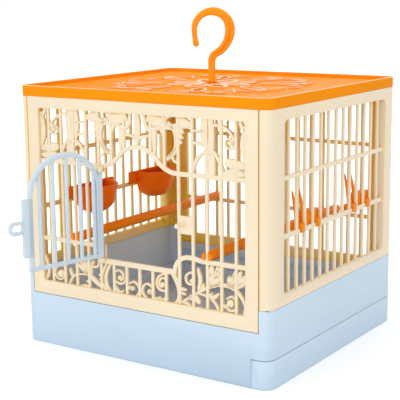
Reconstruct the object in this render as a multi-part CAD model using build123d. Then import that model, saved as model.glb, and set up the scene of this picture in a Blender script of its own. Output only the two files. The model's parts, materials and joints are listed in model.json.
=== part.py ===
from build123d import *
import os
from math import ceil, cos, radians, sin

os.makedirs("parts", exist_ok=True)

# Millimetres. The origin is the middle of the base's underside, +X runs to the right
# as seen from the door, +Y to the back and +Z up. The door is modelled wide open.

# Clearances
seat_gap = 0.3
running_fit = 0.05
seam_gap = 0.8

# How far joined shapes run into each other, and cuts run past a face
embed = 1.0

# Case
case_width = 290.0
case_depth = 264.0
corner_radius = 12.0
least_corner = 1.0
base_side_height = 74.0
base_notch_height = 52.7
wall_height = 179.2
panel_thickness = 5.0
return_width = 11.0
lip_thickness = 2.5
lip_overlap = 3.7

# Base housing and its litter drawer
shell_thickness = 3.0
floor_thickness = 2.0
rebate_height = 2.0
rebate_ledge = 6.7
drawer_height = 27.1
drawer_face_wrap = 19.3
drawer_face_thickness = 4.0
drawer_wall = 2.0
drawer_rim_drop = 0.6
drawer_side_gap = 0.5
drawer_end_gap = 0.6

# Bars of the four lattices
bar_pitch = 15.5
bar_width = 3.0
bar_depth = 3.0
bar_recess = 2.2

# Front and back panels
window_side_border = 25.5
window_bottom_border = 13.8
window_top_border = 11.2
window_corner = 3.0
upper_rail_z = 189.7
lower_rail_z = 110.5
rail_height = 4.5

# Door opening in the front panel, bounded by a bar on each side
opening_bar = 3
arch_overlap = 1.0
arch_rise = 21.3
sill_z = 96.2
sill_height = 5.3
sill_end_inset = 4.5
sill_bend_radius = 16.0
sill_bend_run = 18.0
post_width = 5.0
post_setback = 1.0

# Latch plate and peg beside the opening
latch_plate_z = 142.5
latch_plate_height = 17.0
peg_offset = 6.0
peg_z = 143.5
peg_radius = 2.1
peg_bulb_radius = 2.6
peg_length = 13.2

# Door and its hinge
hinge_inset = 2.5
hinge_lug_radius = 3.2
hinge_neck_width = 4.4
lower_lug_bottom = 96.0
lower_lug_height = 4.1
upper_lug_bottom = 184.0
upper_lug_height = 6.0
trunnion_radius = 1.5
trunnion_length = 3.0
stile_radius = 2.4
lug_swing_radius = 3.6
door_open_angle = 104.0
leaf_thickness = 3.6
leaf_end_gap = 5.5
leaf_spring_z = 168.0
leaf_arch_rise = 40.0
leaf_rib = 5.0
leaf_foot = 4.0
leaf_bar_start = 8.0
latch_flange_reach = 6.0
latch_flange_bottom = 114.5
latch_flange_top = 169.5
ring_width = 16.0
ring_height = 15.0
ring_corner = 6.5
ring_hole_width = 10.0
ring_hole_height = 6.0
ring_hole_corner = 2.0

# Side walls
side_window_end_border = 26.0
side_window_bottom_border = 10.0
side_window_corner = 5.0
side_rail_z = 136.5
side_rail_height = 5.0

# Roof lid
lid_height = 10.4
lid_rim = 3.0
lid_sink = 4.0
lid_plate = 2.0
lid_tab_drop = 5.2
lid_tab_thickness = 2.2
lid_tab_end = 18.0
boss_radius = 8.0
boss_rise = 2.0
petal_count = 8
petal_inner = 12.0
petal_outer = 44.0
petal_bulge = 6.5
slot_inner = 52.0
slot_outer = 88.0
slot_bulge = 5.0

# Carrying hook
hook_turn = 33.1
stem_radius = 3.5
hook_shaft_top = 19.4
hook_neck_radius = 9.0
hook_neck_angle = 60.9
hook_throat_radius = 27.6
hook_eye_radius = 18.1
hook_tail_radius = 60.0
hook_tail_angle = 16.5
hook_section_width = 8.4
hook_section_depth = 6.4
collar_radius = 5.4
collar_height = 1.5
nut_radius = 8.0
nut_height = 4.0
stem_tail = 0.6

# Perches
perch_radius = 5.0
perch_bar = 5
perch_notch = 2.5
perch_reach = 4.5
perch_lift_slot = 0.3

# Cups on the left wall
cup_spacing = 102.0
cup_half_width = 26.0
cup_reach = 32.5
cup_wall = 2.0
cup_height = 31.0
cup_straight = 9.0
cup_foot_scale = 0.78
cup_rim_above_rail = 11.0
cup_wing_half = 40.0
cup_wing_height = 14.0
cup_wing_thickness = 2.5
tab_width = 8.0
tab_height = 3.7
tab_leg_drop = 8.0
tab_leg_thickness = 1.6
cup_tab_pitches = 1.5

# Fruit forks on the right wall
fork_first_gaps = (-4.5, 2.5)
fork_length = 47.0
fork_bar_depth = 6.5
fork_bar_height = 9.0
fork_block_length = 26.0
fork_block_depth = 10.0
fork_block_height = 17.0
fork_drop = 6.3
fork_tab_inset = 3.0
fork_tab_width = 6.0
fork_tab_pitches = 2
spike_starts = (6.8, 19.8)
spike_width = 5.5
spike_tip_width = 1.4
spike_thickness = 2.4
spike_height = 30.0
spike_lean = 6.0

# Scrollwork behind the bars: x and z of what each stroke, curl and leaf passes
scroll_thickness = 1.6
scroll_ribbon = 2.2
curl_closing = 0.62
curl_least_radius = 1.6
curl_eye_radius = 1.7
lower_strokes = [
    [(-39.5, 95.0), (-33.7, 79.8), (-34.2, 65.0)],
    [(36.8, 95.0), (41.3, 79.8), (43.2, 65.0)],
    [(-18.8, 82.2), (-16.5, 72.0), (-6.5, 72.3)],
    [(19.1, 82.4), (17.5, 73.5), (8.4, 73.4)],
    [(48.9, 65.0), (66.0, 81.8), (94.5, 90.5)],
    [(94.5, 90.5), (110.6, 85.0), (117.8, 69.7)],
    [(64.8, 80.8), (80.5, 77.6), (88.9, 65.0)],
    [(51.6, 92.1), (50.0, 100.0), (55.0, 110.0)],
    [(107.9, 74.7), (111.5, 79.0), (112.6, 82.0)],
    [(-89.0, 65.0), (-85.6, 78.0), (-75.5, 87.0)],
    [(-86.6, 75.0), (-66.0, 82.0), (-46.5, 69.9)],
    [(-104.9, 74.0), (-112.0, 80.0), (-119.0, 95.0)],
    [(-50.8, 89.9), (-47.5, 80.0), (-46.5, 69.9)],
    [(-96.0, 65.0), (-94.0, 85.0), (-103.0, 110.0)],
]
lower_curls = [
    ((-23.8, 82.2), 5.0, 0.0, 1),
    ((25.6, 82.4), 6.5, 180.0, -1),
    ((-9.5, 72.3), 3.0, 0.0, 1),
    ((11.4, 73.4), 3.0, 180.0, -1),
    ((56.6, 92.1), 5.0, 180.0, 1),
    ((101.9, 74.7), 6.0, 0.0, -1),
    ((-100.4, 74.0), 4.5, 180.0, 1),
    ((-55.8, 89.9), 5.0, 0.0, -1),
]
lower_leaves = [
    ((86.5, 88.0), (80.0, 105.5), 4.2),
    ((90.0, 89.0), (92.0, 106.5), 3.2),
    ((100.0, 89.5), (103.0, 105.0), 3.0),
    ((101.0, 89.5), (112.0, 104.0), 3.2),
    ((102.0, 88.0), (118.0, 98.0), 3.2),
    ((67.0, 82.0), (74.5, 91.5), 2.4),
    ((76.0, 77.5), (89.0, 80.5), 2.6),
    ((-75.5, 78.5), (-74.0, 96.0), 3.4),
    ((-73.5, 79.0), (-64.5, 94.0), 3.2),
    ((-71.0, 79.5), (-59.5, 85.5), 2.8),
]
upper_strokes = [
    [(-52.0, 206.0), (-44.5, 189.4), (-37.0, 206.0)],
    [(33.8, 233.0), (41.3, 218.7), (34.4, 204.3)],
    [(-33.8, 233.0), (-41.3, 218.7), (-34.4, 204.3)],
    [(70.0, 226.0), (84.0, 212.0), (96.3, 190.0)],
    [(60.0, 190.0), (66.0, 203.0), (85.0, 209.5)],
    [(-70.0, 226.0), (-84.0, 212.0), (-96.3, 190.0)],
    [(-60.0, 190.0), (-66.0, 203.0), (-85.0, 209.5)],
    [(107.7, 222.0), (104.0, 232.0), (92.0, 236.0)],
    [(-107.7, 222.0), (-104.0, 232.0), (-92.0, 236.0)],
    [(92.0, 236.0), (77.0, 235.0), (70.0, 226.0)],
    [(-92.0, 236.0), (-77.0, 235.0), (-70.0, 226.0)],
    [(-12.5, 224.0), (0.0, 217.0), (12.5, 224.0)],
]
upper_curls = [
    ((101.7, 222.0), 6.0, 0.0, -1),
    ((-101.7, 222.0), 6.0, 180.0, 1),
    ((-17.0, 224.0), 4.5, 0.0, 1),
    ((17.0, 224.0), 4.5, 180.0, -1),
]
upper_leaves = [
    ((101.0, 192.0), (119.0, 206.0), 5.0),
    ((-101.0, 192.0), (-119.0, 206.0), 5.0),
    ((41.0, 219.0), (59.5, 228.0), 3.6),
    ((-41.0, 219.0), (-59.5, 228.0), 3.6),
    ((36.0, 231.0), (50.0, 240.5), 3.2),
    ((-36.0, 231.0), (-50.0, 240.5), 3.2),
    ((0.0, 217.5), (0.0, 238.0), 4.2),
    ((-17.0, 228.5), (-28.0, 240.0), 3.0),
    ((17.0, 228.5), (28.0, 240.0), 3.0),
    ((110.0, 210.0), (116.0, 238.0), 4.0),
    ((-110.0, 210.0), (-116.0, 238.0), 4.0),
]

# Levels and edges that follow from the sizes above
half_width = case_width / 2
half_depth = case_depth / 2
wall_top = base_side_height + wall_height
lid_top = wall_top + lid_height
plate_top = lid_top - lid_sink
plate_bottom = plate_top - lid_plate
boss_top = plate_top + boss_rise
return_edge = half_width - return_width
panel_half = return_edge - seam_gap
notch_half = panel_half + seat_gap
lip_edge = panel_half - lip_overlap
drawer_seam = half_width - drawer_face_wrap
window_half = half_width - window_side_border
window_bottom = base_notch_height + window_bottom_border
window_top = wall_top - window_top_border
side_window_half = half_depth - side_window_end_border
side_window_bottom = base_side_height + side_window_bottom_border
lattice_front = half_depth - bar_recess
lattice_back = lattice_front - bar_depth
side_lattice_outer = half_width - bar_recess
side_lattice_inner = side_lattice_outer - bar_depth
side_back = min(side_lattice_inner, half_width - panel_thickness) - seat_gap
lower_rail_top = lower_rail_z + rail_height / 2
side_rail_top = side_rail_z + side_rail_height / 2
opening_edge = opening_bar * bar_pitch
arch_half_width = opening_edge - arch_overlap
sill_right_end = arch_half_width - sill_end_inset
sill_bend_top = sill_z + sill_bend_radius
hinge_x = -(arch_half_width - hinge_inset)
hinge_y = -half_depth
leaf_width = arch_half_width - leaf_end_gap - hinge_x
peg_x = opening_edge + peg_offset


def block(x_span, y_span, z_span):
    """A box between two values along each axis."""
    size = [abs(span[1] - span[0]) for span in (x_span, y_span, z_span)]
    middle = [(span[0] + span[1]) / 2 for span in (x_span, y_span, z_span)]
    return Pos(*middle) * Box(*size)


def rod(radius, bottom, top, x=0.0, y=0.0):
    """A round bar standing between two heights."""
    return Pos(x, y, (bottom + top) / 2) * Cylinder(radius, top - bottom)


def strip(u_span, v_span):
    """A flat rectangle between two values along each of its own axes."""
    width = u_span[1] - u_span[0]
    height = v_span[1] - v_span[0]
    return Pos(sum(u_span) / 2, sum(v_span) / 2) * Rectangle(width, height)


def front_slab(outline, back, front):
    """Thicken an outline drawn in X and Z; back and front are distances towards the viewer."""
    return extrude(Plane.XZ.offset(back) * outline, front - back)


def side_slab(outline, inner, outer):
    """Thicken an outline drawn in Y and Z, between two distances to the right."""
    return extrude(Plane.YZ.offset(inner) * outline, outer - inner)


def case_outline(inset=0.0):
    """The case in plan, drawn in from its outer face."""
    width = case_width - 2 * inset
    depth = case_depth - 2 * inset
    return RectangleRounded(width, depth, max(corner_radius - inset, least_corner))


def case_shell(thickness, bottom, top):
    """A wall all round the case, between two heights."""
    ring = case_outline() - case_outline(thickness)
    return extrude(Plane.XY.offset(bottom) * ring, top - bottom)


def level_bend(start, end):
    """Two equal arcs between two points, level at both ends."""
    middle = ((start[0] + end[0]) / 2, (start[1] + end[1]) / 2)
    first = TangentArc(start, middle, tangent=(1, 0))
    second = TangentArc(middle, end, tangent=first % 1)
    return [first, second]


def arch_curve():
    """Centre line of the bell-shaped head over the door opening."""
    left = (-arch_half_width, upper_rail_z)
    peak = (0, upper_rail_z + arch_rise)
    right = (arch_half_width, upper_rail_z)
    return level_bend(left, peak) + level_bend(peak, right)


def door_opening():
    """The opening from the sill's centre line to that of the arch."""
    left = (-arch_half_width, upper_rail_z)
    right = (arch_half_width, upper_rail_z)
    sides = Polyline(right, (arch_half_width, sill_z), (-arch_half_width, sill_z), left)
    return make_face(arch_curve() + [sides])


def window_outline():
    """The front and back panels' window."""
    middle = (window_bottom + window_top) / 2
    height = window_top - window_bottom
    return Pos(0, middle) * RectangleRounded(2 * window_half, height, window_corner)


def bar_places(half_span):
    """Where bars stand within a window, counted from its middle."""
    reach = int((half_span - bar_width) // bar_pitch)
    return range(-reach, reach + 1)


def upright(index, bottom, top):
    """One bar of a lattice, as a flat strip."""
    middle = index * bar_pitch
    return strip((middle - bar_width / 2, middle + bar_width / 2), (bottom, top))


def cross_rail(half_span, middle, height):
    """A straight rail across a window, as a flat strip."""
    span = (-half_span - embed, half_span + embed)
    return strip(span, (middle - height / 2, middle + height / 2))


def panel_plate():
    """The flat frame round a front or back window."""
    plate = strip((-panel_half, panel_half), (base_notch_height, wall_top))
    return front_slab(plate - window_outline(), half_depth - panel_thickness, half_depth)


def panel_bars(indices):
    """Full-height bars of a front or back panel."""
    outline = Sketch()
    for index in indices:
        outline += upright(index, window_bottom - embed, window_top + embed)
    return outline


def back_panel():
    """The back: a plain lattice with two straight rails."""
    outline = panel_bars(bar_places(window_half))
    outline += cross_rail(window_half, upper_rail_z, rail_height)
    outline += cross_rail(window_half, lower_rail_z, rail_height)
    panel = panel_plate() + front_slab(outline, lattice_back, lattice_front)
    return Rot(0, 0, 180) * panel


def front_rails():
    """Upper rail with its arch, and the lower rail that dips to the door sill."""
    far = window_half + embed
    half = rail_height / 2
    outline = strip((-far, -arch_half_width), (upper_rail_z - half, upper_rail_z + half))
    outline += strip((arch_half_width, far), (upper_rail_z - half, upper_rail_z + half))
    outline += trace(arch_curve(), rail_height)
    post_edge = hinge_x - post_width / 2
    outline += strip((-far, post_edge), (lower_rail_z - half, lower_rail_z + half))
    bend_end = sill_right_end + sill_bend_radius
    shoulder = (sill_right_end + sill_bend_radius + sill_bend_run, lower_rail_z)
    quarter = TangentArc((sill_right_end, sill_z), (bend_end, sill_bend_top), tangent=(0, 1))
    outline += trace([quarter], rail_height)
    outline += trace(level_bend((bend_end, sill_bend_top), shoulder), rail_height)
    outline += strip((shoulder[0], far), (lower_rail_z - half, lower_rail_z + half))
    sill = (sill_z - sill_height / 2, sill_z + sill_height / 2)
    return outline + strip((post_edge, sill_right_end + half), sill)


def front_lattice():
    """The front bars, which stop at the door opening."""
    places = bar_places(window_half)
    outline = panel_bars([index for index in places if abs(index) >= opening_bar])
    short = panel_bars([index for index in places if abs(index) < opening_bar])
    outline += short - door_opening()
    outline += front_rails()
    latch_span = (opening_edge, opening_edge + bar_pitch)
    latch_reach = latch_plate_height / 2
    outline += strip(latch_span, (latch_plate_z - latch_reach, latch_plate_z + latch_reach))
    return front_slab(outline, lattice_back, lattice_front)


def latch_peg():
    """The rounded peg that the door's ring clips over."""
    root = lattice_front - embed
    bulb = lattice_front + peg_length - peg_bulb_radius
    pin = front_slab(Pos(peg_x, peg_z) * Circle(peg_radius), root, bulb)
    return pin + Pos(peg_x, -bulb, peg_z) * Sphere(peg_bulb_radius)


def hinge_lug(bottom, height):
    """One eye that carries an end of the door's hinge rod."""
    top = bottom + height
    neck_span = (hinge_x - hinge_neck_width / 2, hinge_x + hinge_neck_width / 2)
    neck = block(neck_span, (hinge_y, -lattice_back), (bottom, top))
    eye = rod(hinge_lug_radius, bottom, top, hinge_x, hinge_y)
    bore = rod(trunnion_radius + running_fit, bottom - embed, top + embed, hinge_x, hinge_y)
    return neck + eye - bore


def front_panel():
    """The front: lattice, arched door opening, hinge lugs and latch peg."""
    post_span = (hinge_x - post_width / 2, hinge_x + post_width / 2)
    post = strip(post_span, (sill_z, lower_rail_top))
    tab = strip(post_span, (upper_lug_bottom, upper_rail_z))
    panel = panel_plate() + front_lattice() + latch_peg()
    panel += front_slab(post, lattice_back, lattice_front - post_setback)
    panel += front_slab(tab, lattice_back, lattice_front - post_setback)
    panel += hinge_lug(lower_lug_bottom, lower_lug_height)
    return panel + hinge_lug(upper_lug_bottom, upper_lug_height)


def curl(centre, radius, angle, turn):
    """A volute of half circles that close in on an eye, from an angle about its centre."""
    toward = Vector(cos(radians(angle)), sin(radians(angle)))
    point = Vector(*centre) + toward * radius
    outline = Sketch()
    while radius > curl_least_radius:
        middle = point - toward * radius
        across = Vector(-toward.Y, toward.X) * (radius * turn)
        end = middle - toward * radius
        outline += trace([ThreePointArc(point, middle + across, end)], scroll_ribbon)
        point = end
        toward = toward * -1
        radius *= curl_closing
    return outline + Pos(point.X, point.Y) * Circle(curl_eye_radius)


def leaf(base, tip, bulge):
    """A pointed leaf between two points."""
    run = Vector(*tip) - Vector(*base)
    middle = Vector(*base) + run * 0.5
    side = Vector(-run.Y, run.X).normalized() * bulge
    return make_face([ThreePointArc(base, middle + side, tip), ThreePointArc(tip, middle - side, base)])


def scrollwork(strokes, curls, leaves, zone):
    """Flat scrollwork that lies against the back of the bars, kept within its zone."""
    outline = Sketch()
    for stroke in strokes:
        outline += trace([ThreePointArc(*stroke)], scroll_ribbon)
    for curl_values in curls:
        outline += curl(*curl_values)
    for leaf_values in leaves:
        outline += leaf(*leaf_values)
    return front_slab(outline & zone, lattice_back - scroll_thickness, lattice_back)


def scroll_upper():
    """Scrollwork between the upper rail and the window's top."""
    zone = window_outline() & strip((-window_half, window_half), (upper_rail_z, window_top))
    return scrollwork(upper_strokes, upper_curls, upper_leaves, zone - door_opening())


def scroll_lower():
    """Scrollwork between the window's foot and the lower rail and sill."""
    zone = window_outline() & strip((-window_half, window_half), (window_bottom, lower_rail_z))
    return scrollwork(lower_strokes, lower_curls, lower_leaves, zone - door_opening())


def right_wall():
    """A side wall with rounded returns at both corners and a lip behind each panel."""
    shell = case_shell(panel_thickness, base_side_height, wall_top)
    wall = shell & block((return_edge, half_width), (-half_depth, half_depth), (0, wall_top))
    inner_face = half_depth - panel_thickness
    for side in (-1, 1):
        lip_span = (side * inner_face, side * (inner_face - lip_thickness))
        lip_end = half_width - panel_thickness + embed
        wall += block((lip_edge, lip_end), lip_span, (base_side_height, wall_top))
    middle = (side_window_bottom + window_top) / 2
    height = window_top - side_window_bottom
    window = Pos(0, middle) * RectangleRounded(2 * side_window_half, height, side_window_corner)
    wall -= side_slab(window, half_width - panel_thickness - embed, half_width + embed)
    outline = Sketch()
    for index in bar_places(side_window_half):
        outline += upright(index, side_window_bottom - embed, window_top + embed)
    outline += cross_rail(side_window_half, upper_rail_z, rail_height)
    outline += cross_rail(side_window_half, side_rail_z, side_rail_height)
    return wall + side_slab(outline, side_lattice_inner, side_lattice_outer)


def base_housing():
    """The base: an open box with a rebate for each panel and a doorway for the drawer."""
    housing = case_shell(shell_thickness, 0, base_side_height)
    floor = extrude(case_outline(shell_thickness - embed), floor_thickness)
    housing += floor
    far = half_width + embed
    for side in (-1, 1):
        wall_face = side * (half_depth - shell_thickness)
        panel_back = side * (half_depth - panel_thickness - seat_gap)
        ledge_face = side * (half_depth - panel_thickness - seat_gap - lip_thickness)
        ledge_span = (-notch_half, notch_half)
        ledge_z = (base_notch_height - rebate_ledge, base_notch_height)
        ledge = block(ledge_span, (wall_face, ledge_face), ledge_z)
        upstand_top = base_notch_height + rebate_height
        upstand = block(ledge_span, (panel_back, ledge_face), (base_notch_height - embed, upstand_top))
        notch_span = (side * (half_depth + embed), wall_face)
        notch = block(ledge_span, notch_span, (base_notch_height, base_side_height + embed))
        housing = housing - notch + ledge + upstand
    doorway_top = drawer_height + 2 * seat_gap
    doorway = block((drawer_seam - seat_gap, far), (-far, far), (-embed, doorway_top))
    return housing - doorway


def litter_drawer():
    """The litter drawer: a tray whose face wraps both right-hand corners."""
    bottom = seat_gap
    face = case_shell(drawer_face_thickness, bottom, drawer_height)
    face = face & block((drawer_seam, half_width), (-half_depth, half_depth), (bottom, drawer_height))
    tray_left = -(half_width - shell_thickness - drawer_end_gap)
    tray_right = half_width - drawer_face_thickness
    tray_half = half_depth - shell_thickness - drawer_side_gap
    tray_bottom = floor_thickness + seat_gap
    tray_top = drawer_height - drawer_rim_drop
    left_radius = corner_radius - shell_thickness
    tray = block((tray_left, tray_right), (-tray_half, tray_half), (tray_bottom, tray_top))
    tray = fillet(tray.edges().filter_by(Axis.Z).group_by(Axis.X)[0], left_radius)
    right_corners = tray.edges().filter_by(Axis.Z).group_by(Axis.X)[-1]
    tray = fillet(right_corners, corner_radius - drawer_face_thickness)
    hollow = offset(Face(tray.faces().sort_by(Axis.Z)[-1].outer_wire()), -drawer_wall)
    hollow_depth = tray_top - tray_bottom - drawer_wall
    return tray + face - extrude(hollow, -hollow_depth)


def lens(inner, outer, bulge, angle):
    """A pointed petal along a ray from the middle."""
    return Rot(0, 0, angle) * leaf((inner, 0), (outer, 0), bulge)


def roof_lid():
    """The roof: a rimmed tray with an openwork rosette and a boss for the hook."""
    lid = case_shell(lid_rim, wall_top, lid_top)
    plate = case_outline(lid_rim - embed)
    for index in range(petal_count):
        angle = index * 360 / petal_count
        plate -= lens(petal_inner, petal_outer, petal_bulge, angle)
        plate -= lens(slot_inner, slot_outer, slot_bulge, angle + 180 / petal_count)
    lid += extrude(Plane.XY.offset(plate_bottom) * plate, lid_plate)
    lid += rod(boss_radius, plate_bottom, boss_top)
    side_inner = half_width - panel_thickness - seat_gap
    front_inner = half_depth - panel_thickness - seat_gap
    tab_z = (wall_top - lid_tab_drop, plate_bottom + lid_plate / 2)
    for side in (-1, 1):
        side_span = (side * side_inner, side * (side_inner - lid_tab_thickness))
        side_end = half_depth - lid_tab_end
        lid += block(side_span, (-side_end, side_end), tab_z)
        front_span = (side * front_inner, side * (front_inner - lid_tab_thickness))
        front_end = half_width - lid_tab_end
        lid += block((-front_end, front_end), front_span, tab_z)
    return lid - rod(stem_radius + running_fit, plate_bottom - embed, boss_top + embed)


def hook_path():
    """Centre line of the hook, drawn across and up from the stem's shoulder."""
    shaft_start = boss_top + seat_gap
    shaft_end = lid_top + hook_shaft_top
    shaft = Line((0, shaft_start), (0, shaft_end))
    neck = radians(hook_neck_angle)
    neck_end = (hook_neck_radius * (1 - cos(neck)), shaft_end + hook_neck_radius * sin(neck))
    neck_arc = TangentArc((0, shaft_end), neck_end, tangent=(0, 1))
    heading = neck_arc % 1
    throat_middle = Vector(*neck_end) + Vector(-heading.Y, heading.X) * hook_throat_radius
    throat_end = throat_middle + Vector(hook_throat_radius, 0)
    throat_arc = TangentArc(neck_end, throat_end, tangent=heading)
    eye_middle = throat_end - Vector(hook_eye_radius, 0)
    eye_top = eye_middle + Vector(0, hook_eye_radius)
    eye_left = eye_middle - Vector(hook_eye_radius, 0)
    eye_arc = ThreePointArc(throat_end, eye_top, eye_left)
    tail = radians(hook_tail_angle)
    tail_reach = hook_tail_radius * (1 - cos(tail))
    tail_end = eye_left + Vector(tail_reach, -hook_tail_radius * sin(tail))
    tail_arc = TangentArc(eye_left, tail_end, tangent=(0, -1))
    return [shaft, neck_arc, throat_arc, eye_arc, tail_arc]


def carry_hook():
    """The carrying hook, with a stem that turns in the roof's boss."""
    upright_plane = Plane.XZ.rotated((0, 0, hook_turn))
    path = upright_plane * Wire(hook_path())
    start = boss_top + seat_gap
    oval = Ellipse(hook_section_width / 2, hook_section_depth / 2)
    hook = sweep(Plane.XY.offset(start) * Rot(0, 0, hook_turn) * oval, path)
    stem_bottom = plate_bottom - seat_gap - nut_height - stem_tail
    hook += rod(stem_radius, stem_bottom, start + embed)
    return hook + rod(collar_radius, start, start + collar_height)


def hook_nut():
    """The nut under the roof that keeps the hook in its boss."""
    top = plate_bottom - seat_gap
    nut = Pos(0, 0, top - nut_height / 2) * extrude(RegularPolygon(nut_radius, 6), nut_height / 2, both=True)
    return nut - rod(stem_radius + running_fit, top - nut_height - embed, top + embed)


def leaf_outline(inset, foot):
    """The arched outline of the door leaf, drawn in from its edge."""
    half = leaf_width / 2 - inset
    middle = leaf_width / 2
    bottom = lower_lug_bottom + lower_lug_height + seat_gap + foot
    sides = strip((middle - half, middle + half), (bottom, leaf_spring_z))
    head = Pos(middle, leaf_spring_z) * Ellipse(half, leaf_arch_rise - inset)
    return sides + (head & strip((0, leaf_width), (leaf_spring_z - embed, leaf_spring_z + leaf_arch_rise)))


def door_leaf():
    """The flat leaf, drawn closed with its hinge axis at x = 0: rim, bars, flange and ring."""
    whole = leaf_outline(0, 0)
    outline = whole - leaf_outline(leaf_rib, leaf_foot)
    bars = Sketch()
    for index in range(int((leaf_width - leaf_bar_start) // bar_pitch) + 1):
        middle = leaf_bar_start + index * bar_pitch
        span = (middle - bar_width / 2, middle + bar_width / 2)
        bars += strip(span, (lower_lug_bottom, leaf_spring_z + leaf_arch_rise))
    outline += bars & whole
    flange_span = (leaf_width - leaf_rib, leaf_width + latch_flange_reach)
    outline += strip(flange_span, (latch_flange_bottom, latch_flange_top))
    ring_middle = leaf_width + latch_flange_reach - embed + ring_width / 2
    outline += Pos(ring_middle, peg_z) * RectangleRounded(ring_width, ring_height, ring_corner)
    hole = RectangleRounded(ring_hole_width, ring_hole_height, ring_hole_corner)
    outline -= Pos(peg_x - hinge_x, peg_z) * hole
    return front_slab(outline, -leaf_thickness / 2, leaf_thickness / 2)


def door():
    """The door, hung on two trunnions and swung open."""
    bottom = lower_lug_bottom + lower_lug_height + seat_gap
    top = upper_lug_bottom - seat_gap
    leaf_body = door_leaf() - rod(lug_swing_radius, top, leaf_spring_z + leaf_arch_rise + embed)
    leaf_body += rod(stile_radius, bottom, top)
    leaf_body += rod(trunnion_radius, bottom - trunnion_length, bottom + embed)
    leaf_body += rod(trunnion_radius, top - embed, top + trunnion_length)
    return Pos(hinge_x, hinge_y) * Rot(0, 0, -door_open_angle) * leaf_body


def perch(side):
    """A round perch whose slotted ends straddle a front and a back bar."""
    x = side * perch_bar * bar_pitch
    seat = lower_rail_top + seat_gap
    z = seat + perch_radius - perch_notch
    half = lattice_back + perch_reach
    body = Pos(x, 0, z) * Rot(90, 0, 0) * Cylinder(perch_radius, 2 * half)
    slot_half = bar_width / 2 + perch_lift_slot
    inner = lattice_back - seat_gap
    for end in (-1, 1):
        y_span = (end * inner, end * (half + embed))
        slot_z = (z - perch_radius - embed, z + perch_radius + embed)
        body -= block((x - slot_half, x + slot_half), y_span, slot_z)
        body -= block((x - 2 * perch_radius, x + 2 * perch_radius), y_span, (z - 2 * perch_radius, seat))
    return body


def wall_tab(y, width, inner_x):
    """A tab that passes between two bars, over the rail, and down its outer face."""
    bottom = side_rail_top + seat_gap
    y_span = (y - width / 2, y + width / 2)
    leg_inner = side_lattice_outer + seat_gap
    leg_outer = leg_inner + tab_leg_thickness
    top = bottom + tab_height
    tongue = block((inner_x, leg_outer), y_span, (bottom, top))
    return tongue + block((leg_inner, leg_outer), y_span, (top - tab_leg_drop, top))


def cup_outline(scale, inset):
    """The cup in plan, flat against the wall and bowed towards the cage."""
    half = cup_half_width * scale - inset
    reach = cup_reach * scale - inset
    straight = cup_straight * scale
    sides = Polyline((-straight, half), (-inset, half), (-inset, -half), (-straight, -half))
    bow = ThreePointArc((-straight, -half), (-reach, 0), (-straight, half))
    return make_face([sides, bow])


def cup_body():
    """A feeding cup drawn against a wall on the right: tapered bowl, wings and two tabs."""
    rim = side_rail_top + cup_rim_above_rail
    foot = rim - cup_height
    top_face = Plane.XY.offset(rim) * cup_outline(1, 0)
    foot_face = Plane.XY.offset(foot) * cup_outline(cup_foot_scale, 0)
    inner_top = Plane.XY.offset(rim + embed) * cup_outline(1, cup_wall)
    inner_foot = Plane.XY.offset(foot + cup_wall) * cup_outline(cup_foot_scale, cup_wall)
    bowl = loft([foot_face, top_face])
    hollow = loft([inner_foot, inner_top])
    wing_x = (-cup_wing_thickness, 0)
    wings = block(wing_x, (-cup_wing_half, cup_wing_half), (rim + embed - cup_wing_height, rim + embed))
    return bowl + wings - hollow


def cup_bars():
    """The bars that the two cups are centred on: as far back as they fit, and well apart."""
    wing_limit = half_depth - panel_thickness - lip_thickness - cup_wing_half - seat_gap
    tab_limit = side_window_half - cup_tab_pitches * bar_pitch - tab_width / 2 - seat_gap
    rear = int(min(wing_limit, tab_limit) // bar_pitch)
    return max(rear - ceil(cup_spacing / bar_pitch), -rear), rear


def cup(bar_index):
    """A cup hooked on the left wall, centred on a bar."""
    y = bar_index * bar_pitch
    body = Pos(side_back, y) * cup_body()
    for side in (-1, 1):
        tab_y = y + side * cup_tab_pitches * bar_pitch
        body += wall_tab(tab_y, tab_width, side_back - cup_wing_thickness)
    return mirror(body, Plane.YZ)


def spike(y):
    """A flat tapering spike that leans into the cage."""
    bottom = side_rail_top + seat_gap - fork_drop + fork_bar_height - embed
    x = side_back - fork_bar_depth / 2
    foot = Pos(x, y, bottom) * Rectangle(spike_thickness, spike_width)
    tip = Pos(x - spike_lean, y, bottom + spike_height) * Rectangle(spike_tip_width, spike_tip_width)
    return loft([foot, tip])


def fork(first_gap):
    """A fruit fork hooked on the right wall, with its first tab a number of pitches from the middle."""
    first_tab = first_gap * bar_pitch
    start = first_tab - fork_tab_inset
    end = start + fork_length
    bottom = side_rail_top + seat_gap - fork_drop
    body = block((side_back - fork_bar_depth, side_back), (start, end), (bottom, bottom + fork_bar_height))
    block_y = (end - fork_block_length, end)
    body += block((side_back - fork_block_depth, side_back), block_y, (bottom, bottom + fork_block_height))
    for distance in spike_starts:
        body += spike(start + distance)
    for tab_y in (first_tab, first_tab + fork_tab_pitches * bar_pitch):
        body += wall_tab(tab_y, fork_tab_width, side_back - fork_bar_depth / 2)
    return body


right = right_wall()
front_cup_bar, rear_cup_bar = cup_bars()
pieces = {
    "base_housing": base_housing(),
    "litter_drawer": litter_drawer(),
    "front_panel": front_panel(),
    "front_scroll_upper": scroll_upper(),
    "front_scroll_lower": scroll_lower(),
    "back_panel": back_panel(),
    "right_wall": right,
    "left_wall": mirror(right, Plane.YZ),
    "roof_lid": roof_lid(),
    "carry_hook": carry_hook(),
    "hook_nut": hook_nut(),
    "door": door(),
    "perch_left": perch(-1),
    "perch_right": perch(1),
    "cup_front": cup(front_cup_bar),
    "cup_rear": cup(rear_cup_bar),
    "fork_front": fork(fork_first_gaps[0]),
    "fork_rear": fork(fork_first_gaps[1]),
}
for name, piece in pieces.items():
    export_step(piece, f"parts/{name}.step")
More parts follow.
